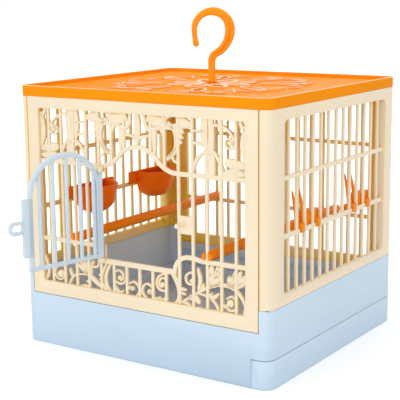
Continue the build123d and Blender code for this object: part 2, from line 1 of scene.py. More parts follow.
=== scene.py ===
import json
from math import asin, atan2, cos, exp, hypot, pi, radians, sin, sqrt

import bmesh
import bpy
from mathutils import Matrix, Vector


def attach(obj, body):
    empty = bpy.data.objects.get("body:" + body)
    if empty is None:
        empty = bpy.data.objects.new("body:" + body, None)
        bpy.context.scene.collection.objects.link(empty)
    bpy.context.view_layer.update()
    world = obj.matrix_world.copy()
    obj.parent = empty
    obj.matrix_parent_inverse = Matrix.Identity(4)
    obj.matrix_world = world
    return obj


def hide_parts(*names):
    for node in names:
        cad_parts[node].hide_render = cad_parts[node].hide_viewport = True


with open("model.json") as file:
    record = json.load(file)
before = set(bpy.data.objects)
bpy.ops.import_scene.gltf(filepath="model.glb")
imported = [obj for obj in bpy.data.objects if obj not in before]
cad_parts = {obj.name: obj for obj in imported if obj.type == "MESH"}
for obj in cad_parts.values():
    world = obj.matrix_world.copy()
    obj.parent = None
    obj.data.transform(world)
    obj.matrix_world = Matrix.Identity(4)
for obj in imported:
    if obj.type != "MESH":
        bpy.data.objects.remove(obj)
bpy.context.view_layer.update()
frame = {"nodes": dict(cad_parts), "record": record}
mm = 0.001

# Camera, at the photograph's place and angle
camera_place = Vector((608.6, -933.2, 357.0)) * mm
camera_yaw = radians(33.80)
camera_pitch = radians(11.06)
camera_roll = radians(-0.59)
photo_width_px = 400
focal_length_px = 1088.94
sensor_width = 36.0

# Colours of the plastics, in sRGB from 0 to 255
orange = (255, 152, 20)
perch_orange = (255, 144, 12)
red_orange = (255, 124, 10)
cream = (247, 230, 200)
# The pale of a painted highlight on crests
crest_highlight_orange = (255, 222, 190)
hook_orange = (255, 160, 6)
# The painted shade in the hook's flute
flute_shade_orange = (244, 104, 0)
pale_blue = (206, 226, 243)
door_blue = (222, 240, 255)

# Sizes of the frame that the pieces below follow, in millimetres. Panels are drawn as seen
# from outside: across, up, and a distance out from the middle of the cage.
wall_foot, wall_top = 74.0, 253.2
panel_foot = 53.1
panel_half, panel_back, panel_face = 132.8, 127.0, 132.0
window_half, window_foot, window_top = 119.5, 66.5, 242.0
side_window_half, side_window_foot = 106.0, 84.0
bar_pitch, bar_width, bar_depth, bar_corner = 15.5, 3.0, 3.0, 0.8
panel_bar_out, side_bar_out = 128.3, 141.3
bar_overrun = 1.0
rail_depth, sill_depth = 2.9, 3.1
rail_height, sill_height, side_rail_height = 4.5, 5.3, 5.0
upper_rail, lower_rail, side_rail, sill = 189.7, 110.5, 136.5, 96.2
arch_half, arch_rise = 45.5, 21.3
corner_radius = 0.8
hinge_across, hinge_out = -43.0, 132.0
lower_lug, upper_lug = (96.0, 100.1), (184.0, 190.0)
door_open = radians(-104)
hook_turn = radians(33.1)
roof_plate = 259.6
scroll_depth, scroll_out = 1.8, 127.4
cup_back, cup_foot, cup_height = -139.5, 119.0, 31
wings_face, cup_hook_half = -137.5, 4

# Turns from a piece's drawing to its place
to_front = Matrix.Identity(4)
to_back = Matrix.Rotation(pi, 4, "Z")
to_right = Matrix.Rotation(pi / 2, 4, "Z")
to_left = Matrix.Rotation(-pi / 2, 4, "Z")
to_roof = Matrix.Rotation(-pi / 2, 4, "X")
to_hinge = Matrix.Translation((hinge_across * mm, -hinge_out * mm, 0))
to_door = to_hinge @ Matrix.Rotation(door_open, 4, "Z")

node_slots = {entry["node"]: entry["material_slot"] for entry in frame["record"]["subparts"]}
node_bodies = {node: body for body, nodes in frame["record"]["behaviour"]["bodies"].items() for node in nodes}


def linear(colour):
    """An sRGB colour from 0 to 255 as linear light."""
    channels = [value / 255 for value in colour]
    return [c / 12.92 if c <= 0.04045 else ((c + 0.055) / 1.055) ** 2.4 for c in channels]


def shade(colour, shares=(1, 1, 1)):
    """A colour as linear light, with a share of each channel kept."""
    return (*(value * share for value, share in zip(linear(colour), shares)), 1)


def link(piece):
    bpy.context.scene.collection.objects.link(piece)
    return piece


def make_camera():
    """The camera, turned by its yaw, pitch and roll."""
    forward = Vector((
        -sin(camera_yaw) * cos(camera_pitch),
        cos(camera_yaw) * cos(camera_pitch),
        -sin(camera_pitch),
    ))
    right = Vector((cos(camera_yaw), sin(camera_yaw), 0))
    up = right.cross(forward)
    across = right * cos(camera_roll) + up * sin(camera_roll)
    upward = up * cos(camera_roll) - right * sin(camera_roll)
    data = bpy.data.cameras.new("camera")
    data.sensor_width = sensor_width
    data.lens = sensor_width * focal_length_px / photo_width_px
    camera = link(bpy.data.objects.new("camera", data))
    turn = Matrix((across, upward, -forward)).transposed().to_4x4()
    camera.matrix_world = Matrix.Translation(camera_place) @ turn
    bpy.context.scene.camera = camera


class Nodes:
    """A node tree that nodes are added to one at a time."""

    prefix = "ShaderNode"

    def __init__(self, tree):
        self.tree = tree

    def feed(self, socket, value):
        if isinstance(value, bpy.types.NodeSocket):
            self.tree.links.new(value, socket)
        else:
            socket.default_value = value

    def add(self, kind, **values):
        """A node's output; its sockets are set by name and its other values as attributes."""
        node = self.tree.nodes.new(self.prefix + kind)
        settings = {key: value for key, value in values.items() if hasattr(node, key) and key.islower()}
        for key, value in settings.items():
            setattr(node, key, value)
        for key, value in values.items():
            if key not in settings:
                self.feed(node.inputs[key.replace("_", " ")], value)
        return node.outputs[0]

    def maths(self, operation, *values):
        node = self.tree.nodes.new("ShaderNodeMath")
        node.operation = operation
        for socket, value in zip(node.inputs, values):
            self.feed(socket, value)
        return node.outputs[0]

    def span(self, value, low, high, to_low, to_high):
        """A value moved from one range to another."""
        node = self.tree.nodes.new("ShaderNodeMapRange")
        names = ("Value", "From Min", "From Max", "To Min", "To Max")
        for name, number in zip(names, (value, low, high, to_low, to_high)):
            self.feed(node.inputs[name], number)
        return node.outputs[0]

    def combine(self, **parts):
        """A vector from its X, Y and Z."""
        node = self.tree.nodes.new("ShaderNodeCombineXYZ")
        for axis, value in parts.items():
            self.feed(node.inputs[axis], value)
        return node.outputs[0]

    def separate(self, vector):
        """A vector's X, Y and Z, by name."""
        node = self.tree.nodes.new("ShaderNodeSeparateXYZ")
        self.feed(node.inputs[0], vector)
        return node.outputs


class Surface(Nodes):
    """A material and its nodes."""

    def __init__(self, name):
        self.material = bpy.data.materials.new(name)
        self.material.use_nodes = True
        super().__init__(self.material.node_tree)
        self.shader = self.tree.nodes["Principled BSDF"]
        coordinates = self.tree.nodes.new("ShaderNodeTexCoord")
        self.place = coordinates.outputs["Object"]

    def set(self, **values):
        for key, value in values.items():
            self.feed(self.shader.inputs[key.replace("_", " ")], value)

    def noise(self, scale, detail=3.0, roughness=0.5, stretch=(1, 1, 1)):
        """Noise with so many waves a metre, stretched by a factor along each axis."""
        place = self.place
        if stretch != (1, 1, 1):
            place = self.add("Mapping", Vector=place, Scale=stretch)
        return self.add("TexNoise", Vector=place, Scale=scale, Detail=detail, Roughness=roughness)


# How far the painted shade of a sheltered corner and of a seam reaches, in metres, and how open a seam is
corner_shade_reach, seam_shade_reach, seam_openness = 0.11, 0.0035, (0.05, 0.45)
# How dark a flow mark is, how pale the painted highlight on a crest is, and how much wear changes the
# roughness
flow_shade, crest_highlight_pale, wear = 0.94, 0.85, 0.06


def moulded_plastic(
    name, colour, seam_shade, painted_inside_shade, roughness, subsurface,
    clearness=0.0, sheen=0.4, ior=1.49, crest=None, groove=None, reach=(0.42, 0.70),
):
    """Injection-moulded plastic: faint flow marks, satin grain, sink marks, fine scuffs, painted shade that
    darkens its seams and a painted warmer shade where it is sheltered, from all to none of it over a reach of
    openness. A crest is two heights between which a painted highlight makes it pale. A groove is the painted
    shade of a flute's deepest part."""
    surface = Surface(name)
    drift = surface.noise(scale=9.0, detail=3.0, roughness=0.55)
    flow = surface.noise(scale=22.0, detail=4.0, roughness=0.6, stretch=(1, 1, 5))
    tone = surface.maths("ADD", surface.maths("MULTIPLY", drift, 0.6), surface.maths("MULTIPLY", flow, 0.4))
    share = surface.span(tone, 0.35, 0.65, 0.0, 1.0)
    tint = surface.add("MixRGB", Fac=share, Color1=shade(colour, [flow_shade] * 3), Color2=shade(colour))
    # Painted warm shade: sheltered surfaces inside the cage take the inside tint, standing for warm light
    # bounced inside it
    light_openness = surface.span(surface.add("AmbientOcclusion", samples=6, Distance=corner_shade_reach), *reach, 0.0, 1.0)
    tint = surface.add("MixRGB", Fac=light_openness, Color1=shade(colour, painted_inside_shade), Color2=tint)
    # Painted shade: seams and crevices darken where the nearby surfaces close them in
    shelter = surface.add("AmbientOcclusion", samples=6, Distance=seam_shade_reach)
    openness = surface.span(shelter, *seam_openness, 0.0, 1.0)
    tint = surface.add("MixRGB", Fac=openness, Color1=shade(colour, seam_shade), Color2=tint)
    # Painted highlight: pale between two heights, on the rosette's ridges and the lid's rim top
    if crest:
        low, high = crest
        height = surface.separate(surface.place)["Z"]
        crest_highlight = surface.span(height, low * mm, high * mm, 0.0, crest_highlight_pale)
        tint = surface.add("MixRGB", Fac=crest_highlight, Color1=tint, Color2=shade(crest_highlight_orange))
    # Painted shade darkens the hook's flute towards its deepest part
    if groove:
        depth = surface.tree.nodes.new("ShaderNodeAttribute")
        depth.attribute_name = "groove"
        tint = surface.add("MixRGB", Fac=depth.outputs["Fac"], Color1=tint, Color2=shade(groove))
    handling = surface.noise(scale=60.0, detail=5.0, roughness=0.7)
    satin = surface.span(handling, 0.3, 0.7, roughness - wear, roughness + wear)
    scratches = surface.noise(scale=420.0, detail=2.0, roughness=0.6, stretch=(1, 1, 0.06))
    scuffs = surface.span(scratches, 0.62, 0.72, 0.0, 2 * wear)
    grain = surface.noise(scale=1500.0, detail=2.0)
    sink = surface.noise(scale=45.0, detail=2.0)
    relief = surface.maths("ADD", grain, surface.maths("MULTIPLY", sink, 2.5))
    bump = surface.add("Bump", Strength=0.16, Distance=0.08 * mm, Height=relief)
    surface.set(Base_Color=tint, Roughness=surface.maths("ADD", satin, scuffs), Normal=bump)
    surface.set(Subsurface_Weight=subsurface, Subsurface_Scale=4 * mm, Subsurface_Radius=(1.0, 0.7, 0.3))
    surface.set(IOR=ior, Transmission_Weight=clearness, Specular_IOR_Level=sheen)
    return surface.material


# What is left of each channel of a colour under the painted shade in a seam, and under the painted warm shade
# in a sheltered corner
warm_seam_shade, soft_seam_shade = (0.86, 0.64, 0.30), (0.96, 0.90, 0.78)
cool_seam_shade, red_seam_shade = (0.50, 0.52, 0.55), (0.95, 0.72, 0.55)
painted_golden_shade, painted_amber_shade, painted_honey_shade = (1.0, 0.80, 0.08), (1.06, 0.84, 0.10), (0.98, 0.86, 0.45)
painted_cool_shade, painted_warm_shade = (0.92, 0.94, 0.96), (1.0, 0.92, 0.80)

warm_look = {"seam_shade": red_seam_shade, "painted_inside_shade": painted_warm_shade, "subsurface": 0.05}
orange_look = {**warm_look, "colour": orange}
perch_look = {**warm_look, "subsurface": 0.10, "sheen": 0.12}
cream_look = {"colour": cream, "roughness": 0.44, "subsurface": 0.12}
blue_look = {"seam_shade": cool_seam_shade, "painted_inside_shade": painted_cool_shade}
# Heights of the painted highlight on the lid's rim top and on the rosette's ridges, in millimetres
lid_crest, rosette_crest = (263.0, 263.5), (260.35, 260.95)
# Each finish's seam and inside tints are painted shade; the lid's and rosette's crests carry a painted
# highlight
finishes = {
    "orange_plastic": dict(orange_look, roughness=0.35, sheen=0.22),
    "hook_plastic": dict(warm_look, colour=hook_orange, roughness=0.35, sheen=0.15, groove=flute_shade_orange),
    "lid_plastic": dict(orange_look, roughness=0.42, sheen=0.05, ior=1.17, crest=lid_crest),
    "rosette_plastic": dict(orange_look, roughness=0.35, sheen=0.2, ior=1.3, crest=rosette_crest),
    "scroll_plastic": dict(cream_look, seam_shade=soft_seam_shade, painted_inside_shade=painted_honey_shade, reach=(0.34, 0.62)),
    "cream_plastic": dict(cream_look, seam_shade=warm_seam_shade, painted_inside_shade=painted_golden_shade, reach=(0.26, 0.52)),
    "far_cream_plastic": dict(cream_look, seam_shade=warm_seam_shade, painted_inside_shade=painted_amber_shade, reach=(0.62, 0.95)),
    "blue_plastic": dict(blue_look, colour=pale_blue, roughness=0.44, subsurface=0.15),
    "red_orange_plastic": dict(perch_look, colour=red_orange, roughness=0.30),
    "perch_plastic": dict(perch_look, colour=perch_orange, roughness=0.40),
    "door_plastic": dict(blue_look, colour=door_blue, roughness=0.34, subsurface=0.20, clearness=0.15),
}
materials = {name: moulded_plastic(name, **finish) for name, finish in finishes.items()}

# The two lattices away from the door, whose insides take a painted warm shade over a wider reach, standing
# for the roof's warm light
warm_shade_finishes = {"back_panel": "far_cream_plastic", "left_wall": "far_cream_plastic"}


class Sweep(Nodes):
    """A Geometry Nodes tree with named sizes, which ends as one real mesh with its material."""

    prefix = "GeometryNode"

    def __init__(self, name, **sizes):
        super().__init__(bpy.data.node_groups.new(name, "GeometryNodeTree"))
        sockets = self.tree.interface
        sockets.new_socket("Geometry", in_out="OUTPUT", socket_type="NodeSocketGeometry")
        sockets.new_socket("Geometry", in_out="INPUT", socket_type="NodeSocketGeometry")
        self.identifiers = {}
        for size, kind in sizes.items():
            name = size.replace("_", " ")
            socket = sockets.new_socket(name, in_out="INPUT", socket_type="NodeSocket" + kind)
            self.identifiers[size] = socket.identifier
        self.given = self.tree.nodes.new("NodeGroupInput").outputs

    def end(self, geometry):
        real = self.add("RealizeInstances", Geometry=geometry)
        finish = self.add("SetMaterial", Geometry=real, Material=self.given["Material"])
        output = self.tree.nodes.new("NodeGroupOutput")
        self.tree.links.new(finish, output.inputs["Geometry"])

    def section(self):
        """The rounded rectangle that bars and rails have."""
        given = self.given
        outline = self.add("CurvePrimitiveQuadrilateral", Width=given["Depth"], Height=given["Width"])
        fillet = self.tree.nodes.new("GeometryNodeFilletCurve")
        fillet.mode = "POLY"
        fillet.inputs["Count"].default_value = 3
        self.feed(fillet.inputs["Curve"], outline)
        self.feed(fillet.inputs["Radius"], given["Corner"])
        return fillet.outputs[0]

    def apply(self, piece, material, **sizes):
        """Runs the tree on a piece and leaves the result as its plain mesh."""
        modifier = piece.modifiers.new(self.tree.name, "NODES")
        modifier.node_group = self.tree
        modifier[self.identifiers["Material"]] = material
        for size, value in sizes.items():
            modifier[self.identifiers[size]] = value
        return outward(baked(piece))


def make_rib_sweep():
    """Ribs of one section that follow the piece's own lines."""
    sweep = Sweep("ribs", Width="Float", Depth="Float", Corner="Float", Material="Material")
    lines = sweep.add("MeshToCurve", Mesh=sweep.given["Geometry"])
    level = sweep.add("SetCurveNormal", mode="FREE", Curve=lines, Normal=(0, -1, 0))
    ribs = sweep.add("CurveToMesh", Curve=level, Profile_Curve=sweep.section(), Fill_Caps=True)
    sweep.end(ribs)
    return sweep


def make_bar_sweep():
    """A row of upright bars at an even pitch, about the middle of the window."""
    sizes = {"Bars": "Int", "Pitch": "Float", "Foot": "Float", "Top": "Float"}
    sweep = Sweep("bars", **sizes, Width="Float", Depth="Float", Corner="Float", Material="Material")
    given = sweep.given
    gaps = sweep.maths("SUBTRACT", given["Bars"], 1.0)
    first = sweep.maths("MULTIPLY", sweep.maths("MULTIPLY", gaps, given["Pitch"]), -0.5)
    places = {"Start_Location": sweep.combine(X=first), "Offset": sweep.combine(X=given["Pitch"])}
    row = sweep.add("MeshLine", Count=given["Bars"], **places)
    foot, top = sweep.combine(Z=given["Foot"]), sweep.combine(Z=given["Top"])
    line = sweep.add("CurvePrimitiveLine", Start=foot, End=top)
    level = sweep.add("SetCurveNormal", mode="FREE", Curve=line, Normal=(0, -1, 0))
    bar = sweep.add("CurveToMesh", Curve=level, Profile_Curve=sweep.section(), Fill_Caps=True)
    sweep.end(sweep.add("InstanceOnPoints", Points=row, Instance=bar))
    return sweep


def make_relief_sweep():
    """Rounded strokes that swell and taper along the piece's own lines, all of one depth."""
    sizes = {"Depth": "Float", "Full_Width": "Float", "Flatness": "Float", "Out": "Float"}
    sweep = Sweep("relief", **sizes, Material="Material")
    given = sweep.given
    taper = sweep.add("InputNamedAttribute", data_type="FLOAT", Name="half_width")
    lines = sweep.add("MeshToCurve", Mesh=given["Geometry"])
    level = sweep.add("SetCurveNormal", mode="FREE", Curve=lines, Normal=(0, -1, 0))
    profile = sweep.add("CurvePrimitiveCircle", Resolution=12, Radius=1.0)
    strokes = sweep.add("CurveToMesh", Curve=level, Profile_Curve=profile, Scale=taper, Fill_Caps=True)
    parts = sweep.separate(sweep.add("InputPosition"))
    beyond = sweep.maths("DIVIDE", sweep.maths("ADD", parts["Y"], given["Out"]), taper)
    flattened = sweep.maths("MULTIPLY", beyond, given["Flatness"])
    beyond = sweep.maths("MAXIMUM", sweep.maths("MINIMUM", flattened, 1.0), -1.0)
    fullness = sweep.maths("MINIMUM", sweep.maths("DIVIDE", taper, given["Full Width"]), 1.0)
    raised = sweep.maths("MULTIPLY", sweep.maths("MULTIPLY", beyond, given["Depth"]), fullness)
    place = sweep.combine(X=parts["X"], Y=sweep.maths("SUBTRACT", raised, given["Out"]), Z=parts["Z"])
    flat = sweep.add("SetPosition", Geometry=strokes, Position=place)
    sweep.end(sweep.add("SetShadeSmooth", Geometry=flat))
    return sweep


# Points closer than this are one point
merge_gap = 0.001 * mm


def baked(piece):
    """The piece with its modifiers applied."""
    graph = bpy.context.evaluated_depsgraph_get()
    mesh = bpy.data.meshes.new_from_object(piece.evaluated_get(graph))
    piece.modifiers.clear()
    piece.data = mesh
    return piece


def outward(piece):
    """The piece with doubles merged and every face turned outwards."""
    shape = bmesh.new()
    shape.from_mesh(piece.data)
    bmesh.ops.remove_doubles(shape, verts=shape.verts, dist=merge_gap)
    bmesh.ops.recalc_face_normals(shape, faces=shape.faces)
    shape.to_mesh(piece.data)
    shape.free()
    return piece


def smoothed(piece, angle=35):
    for face in piece.data.polygons:
        face.use_smooth = True
    piece.data.set_sharp_from_angle(angle=radians(angle))
    return piece


def new_piece(name, mesh=None):
    return link(bpy.data.objects.new(name, mesh or bpy.data.meshes.new(name)))


def shaped_piece(name, shape):
    """A new piece from a shape, with every face turned outwards."""
    bmesh.ops.recalc_face_normals(shape, faces=shape.faces)
    piece = new_piece(name)
    shape.to_mesh(piece.data)
    shape.free()
    return piece


def lofted(name, *lofts):
    """Skins through rings of points in millimetres, each closed at both ends."""
    shape = bmesh.new()
    for loft in lofts:
        rings = [[shape.verts.new(Vector(point) * mm) for point in ring] for ring in loft]
        for first, second in zip(rings, rings[1:]):
            for here in range(len(first)):
                after = (here + 1) % len(first)
                shape.faces.new((first[here], first[after], second[after], second[here]))
        for end in (rings[0], rings[-1]):
            shape.faces.new(end)
    return shaped_piece(name, shape)


def finished(piece, node, turn=to_front, material=None):
    """Turns a piece's mesh to its place, gives it the material of its slot or the one named, hides its CAD
    node and puts it on its body.
    """
    slot = node_slots[node]
    piece.data.transform(turn)
    piece.data.materials.clear()
    piece.data.materials.append(materials[material or warm_shade_finishes.get(node, slot)])
    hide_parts(node)
    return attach(piece, node_bodies[node])


def lines_piece(name, lines, out=0.0, half_widths=None):
    """A piece of loose lines drawn across and up, with a half width at each point if given."""
    points = [Vector((across, -out, up)) * mm for line in lines for across, up in line]
    edges = []
    start = 0
    for line in lines:
        edges += [(start + i, start + i + 1) for i in range(len(line) - 1)]
        start += len(line)
    piece = new_piece(name)
    piece.data.from_pydata(points, edges, [])
    if half_widths:
        widths = [width * mm for line in half_widths for width in line]
        piece.data.attributes.new("half_width", "FLOAT", "POINT").data.foreach_set("value", widths)
    return piece


# Edges sharper than this stay sharp on ribs and bars, in degrees
rib_smoothing = 50
rib_sweep = make_rib_sweep()
bar_sweep = make_bar_sweep()
relief_sweep = make_relief_sweep()


def ribs(name, node, lines, width, out, turn=to_front, depth=bar_depth, corner=bar_corner, material=None):
    """Rounded ribs along lines."""
    piece = lines_piece(name, lines, out)
    finish = materials[material or node_slots[node]]
    rib_sweep.apply(piece, finish, Width=width * mm, Depth=depth * mm, Corner=corner * mm)
    return finished(smoothed(piece, rib_smoothing), node, turn, material)


def bars(name, node, count, foot, top, out, turn=to_front):
    """A window's row of upright bars."""
    piece = new_piece(name)
    sizes = {"Pitch": bar_pitch * mm, "Foot": (foot - bar_overrun) * mm, "Top": (top + bar_overrun) * mm}
    section = {"Width": bar_width * mm, "Depth": bar_depth * mm, "Corner": bar_corner * mm}
    bar_sweep.apply(piece, materials[node_slots[node]], Bars=count, **sizes, **section)
    return finished(smoothed(piece, rib_smoothing), node, turn @ Matrix.Translation((0, -out * mm, 0)))


# Outlines and the plain pieces made from them

def arc(middle, radius, start, end, steps=12):
    """Points on an arc, by its angles in degrees."""
    angles = [radians(start + (end - start) * i / steps) for i in range(steps + 1)]
    return [(middle[0] + radius * cos(a), middle[1] + radius * sin(a)) for a in angles]


def level_bend(start, end, steps=10):
    """Points on two equal arcs between two points, level at both ends."""
    half_across, half_up = (end[0] - start[0]) / 2, (end[1] - start[1]) / 2
    sweep = 2 * atan2(half_up, half_across)
    radius = half_across / sin(sweep)
    angles = [sweep * i / steps for i in range(steps + 1)]
    first = [(start[0] + radius * sin(a), start[1] + radius * (1 - cos(a))) for a in angles]
    second = [(start[0] + end[0] - x, start[1] + end[1] - z) for x, z in reversed(first)]
    return first + second[1:]


def rounded_box(half_across, foot, top, radius, middle=0.0):
    """A rectangle's outline with rounded corners."""
    left, right = middle - half_across + radius, middle + half_across - radius
    low, high = foot + radius, top - radius
    corners = ((right, low, -90), (right, high, 0), (left, high, 90), (left, low, 180))
    return [point for x, z, angle in corners for point in arc((x, z), radius, angle, angle + 90, 6)]


def slab(name, outline, holes, back, face, edge=0.4):
    """A flat plate with holes and rounded edges, between two distances out."""
    curve = bpy.data.curves.new(name, "CURVE")
    curve.dimensions = "2D"
    curve.fill_mode = "BOTH"
    for loop in [outline] + [list(reversed(hole)) for hole in holes]:
        spline = curve.splines.new("POLY")
        spline.points.add(len(loop) - 1)
        for point, (across, up) in zip(spline.points, loop):
            point.co = (across * mm, up * mm, 0, 1)
        spline.use_cyclic_u = True
    curve.extrude = ((face - back) / 2 - edge) * mm
    curve.bevel_depth = edge * mm
    curve.bevel_resolution = 1
    curve.offset = -edge * mm
    drawing = link(bpy.data.objects.new(name + "_drawing", curve))
    graph = bpy.context.evaluated_depsgraph_get()
    mesh = bpy.data.meshes.new_from_object(drawing.evaluated_get(graph))
    bpy.data.objects.remove(drawing)
    stand = Matrix.Translation((0, -(face + back) / 2 * mm, 0)) @ Matrix.Rotation(pi / 2, 4, "X")
    mesh.transform(stand)
    return smoothed(outward(new_piece(name, mesh)))


def spun(name, profile, steps=32):
    """A closed round shape from its radius at each height."""
    shape = bmesh.new()
    points = [shape.verts.new(Vector((radius, 0, height)) * mm) for radius, height in profile]
    lines = [shape.edges.new(pair) for pair in zip(points, points[1:])]
    bmesh.ops.spin(
        shape, geom=points + lines, cent=(0, 0, 0), axis=(0, 0, 1),
        angle=2 * pi, steps=steps, use_merge=True,
    )
    bmesh.ops.remove_doubles(shape, verts=shape.verts, dist=merge_gap)
    return smoothed(shaped_piece(name, shape))


def merged_copy(node):
    """A CAD node's shape as clean flat faces, under a name of its own."""
    mesh = frame["nodes"][node].data.copy()
    shape = bmesh.new()
    shape.from_mesh(mesh)
    bmesh.ops.remove_doubles(shape, verts=shape.verts, dist=2 * merge_gap)
    bmesh.ops.dissolve_limit(shape, angle_limit=radians(0.5), verts=shape.verts, edges=shape.edges)
    shape.to_mesh(mesh)
    shape.free()
    return new_piece(node + "_moulding", mesh)


def edges_rounded(piece, width, segments=2):
    """The rounded edges that a mould gives."""
    bevel = piece.modifiers.new("edges", "BEVEL")
    bevel.width = width * mm
    bevel.segments = segments
    bevel.limit_method = "ANGLE"
    bevel.angle_limit = radians(32)
    bevel.use_clamp_overlap = False
    bevel.harden_normals = True
    return smoothed(baked(piece))


def softened(node, width=0.4, segments=2, material=None):
    """A CAD node's shape with rounded edges."""
    return finished(edges_rounded(merged_copy(node), width, segments), node, material=material)


def plate(name, node, outline, back, face, edge=0.4, holes=(), turn=to_front, material=None):
    """A flat plate of a node, finished."""
    return finished(slab(name, outline, holes, back, face, edge), node, turn, material)


# The flat lattices

def make_panel_frame(node, turn):
    """The flat frame round a front or back window."""
    outline = rounded_box(panel_half, panel_foot, wall_top, corner_radius)
    window = rounded_box(window_half, window_foot, window_top, radius=3.0)
    plate(node + "_frame", node, outline, panel_back, panel_face, edge=0.5, holes=[window], turn=turn)


def make_back_panel():
    make_panel_frame("back_panel", to_back)
    bars("back_bars", "back_panel", 15, window_foot, window_top, panel_bar_out, to_back)
    far = window_half + bar_overrun
    rails = [[(-far, height), (far, height)] for height in (upper_rail, lower_rail)]
    ribs("back_rails", "back_panel", rails, rail_height, panel_bar_out, to_back, rail_depth)


def arch_line():
    """Middle line of the upper rail with the bell-shaped head over the door opening."""
    peak = (0, upper_rail + arch_rise)
    left = level_bend((-arch_half, upper_rail), peak)
    return left + level_bend(peak, (arch_half, upper_rail))[1:]


def height_on(line, across):
    """The height of a line at a distance across."""
    for (x0, z0), (x1, z1) in zip(line, line[1:]):
        if x0 <= across <= x1:
            return z0 + (z1 - z0) * (across - x0) / (x1 - x0)


def make_front_lattice(node):
    """The front's bars, its rails and the door's sill, clear of the opening."""
    foot, top = window_foot - bar_overrun, window_top + bar_overrun
    outermost_bar, opening_bar = 7, 2
    arch = arch_line()
    uprights = []
    for index in range(-outermost_bar, outermost_bar + 1):
        across = index * bar_pitch
        if abs(index) > opening_bar:
            uprights.append([(across, foot), (across, top)])
        else:
            uprights.append([(across, foot), (across, sill)])
            uprights.append([(across, height_on(arch, across)), (across, top)])
    ribs("front_bars", node, uprights, bar_width, panel_bar_out)
    far = window_half + bar_overrun
    sill_end, bend_middle, bend_radius, bend_end = 43.2, 57, 16, 75
    bend = arc((bend_middle, sill), bend_radius, 180, 90, 12)
    bend += level_bend((bend_middle, sill + bend_radius), (bend_end, lower_rail))[1:]
    rails = [
        [(-far, upper_rail)] + arch + [(far, upper_rail)],
        [(-far, lower_rail), (-arch_half, lower_rail)],
        bend + [(far, lower_rail)],
    ]
    ribs("front_rails", node, rails, rail_height, panel_bar_out, depth=rail_depth)
    sill_line = [(-arch_half, sill), (sill_end, sill)]
    ribs("door_sill", node, [sill_line], sill_height, panel_bar_out, depth=sill_depth)


def make_hinge_post(node):
    """The post and the tab that the hinge lugs stand on."""
    half_width, post_top, back, face = 2.5, 112.7, 126.8, 128.8
    for name, low, high in (("hinge_post", sill, post_top), ("hinge_tab", *upper_lug)):
        plate(name, node, rounded_box(half_width, low, high, corner_radius, hinge_across), back, face)


def make_latch(node):
    """The latch plate and its round-headed peg."""
    half_width, foot, top, middle = 7.75, 134.0, 151.0, 54.25
    back, face = 126.7, 129.95
    plate("latch_plate", node, rounded_box(half_width, foot, top, 1.2, middle), back, face, edge=0.6)
    root_radius, neck_radius, neck_end, head_radius, head_middle = 2.7, 2.1, 8.2, 2.6, 10.6
    head = arc((0, head_middle), head_radius, -48, 90, 8)
    root = [(0, -1), (root_radius, -1), (root_radius, 0)]
    peg = spun("latch_peg", root + [(neck_radius, 1.0), (neck_radius, neck_end)] + head)
    peg_across, peg_out, peg_up = 52.5, 129.8, 143.5
    place = Matrix.Translation((peg_across * mm, -peg_out * mm, peg_up * mm))
    finished(peg, node, place @ Matrix.Rotation(pi / 2, 4, "X"))


def make_hinge_lugs(node):
    """The two eyes that the door's trunnions turn in, each with its web."""
    radius, bore_radius, web_half, web_end = 3.2, 1.55, 2.2, 5.2
    outline = arc((0, 0), radius, 133.4, 406.6, 28) + [(-web_half, web_end), (web_half, web_end)]
    bore = arc((0, 0), bore_radius, 0, 345, 23)
    for name, heights in (("lower_hinge_lug", lower_lug), ("upper_hinge_lug", upper_lug)):
        plate(name, node, outline, *heights, edge=0.3, holes=[bore], turn=to_hinge @ to_roof)


def make_front_panel():
    node = "front_panel"
    make_panel_frame(node, to_front)
    make_front_lattice(node)
    make_hinge_post(node)
    make_latch(node)
    make_hinge_lugs(node)


def side_wall_outline():
    """A right side wall in plan: rounded corners, and a lip behind each panel."""
    corner, outer_radius, inner_radius = (133, 120), 12, 7
    lip_root, lip_end, lip_back, web_end = 134, 129.5, 124.5, 138.4
    half = arc(corner, outer_radius, 0, 85.2, 12)
    half += [(lip_root, panel_back), (lip_end, panel_back), (lip_end, lip_back), (web_end, lip_back)]
    half += arc(corner, inner_radius, 40, 0, 4)
    return [(x, -y) for x, y in reversed(half)] + half


def side_wall_shell(name):
    """A right side wall's shell with its window cut out."""
    shape = bmesh.new()
    points = [shape.verts.new(Vector((x, y, wall_foot)) * mm) for x, y in side_wall_outline()]
    top = bmesh.ops.extrude_face_region(shape, geom=[shape.faces.new(points)])["geom"]
    rise = Vector((0, 0, (wall_top - wall_foot) * mm))
    bmesh.ops.translate(shape, vec=rise, verts=[item for item in top if isinstance(item, bmesh.types.BMVert)])
    wall = shaped_piece(name, shape)
    window = rounded_box(side_window_half, side_window_foot, window_top, radius=5.0)
    cutter = slab("window_cutter", window, [], back=130.0, face=150.0, edge=0.01)
    cutter.data.transform(to_right)
    cut = wall.modifiers.new("window", "BOOLEAN")
    cut.object = cutter
    cut.solver = "EXACT"
    outward(baked(wall))
    bpy.data.objects.remove(cutter)
    return edges_rounded(wall, 0.5)


def make_stiles(node, turn):
    """Ribs along a side window's upright edges. One leaves out the height of a cup's wings."""
    width, back, face = 4.2, 135.3, 140.3
    foot, top = side_window_foot - 2, window_top + 1
    wings_foot, wings_top = 134.0, 174.0
    stiles = [(1, foot, top), (-1, foot, wings_foot), (-1, wings_top, top)]
    for index, (side, low, high) in enumerate(stiles):
        outline = rounded_box(width / 2, low, high, corner_radius, side * (side_window_half + width / 2))
        plate(f"{node}_stile_{index}", node, outline, back, face, edge=0.5, turn=turn)


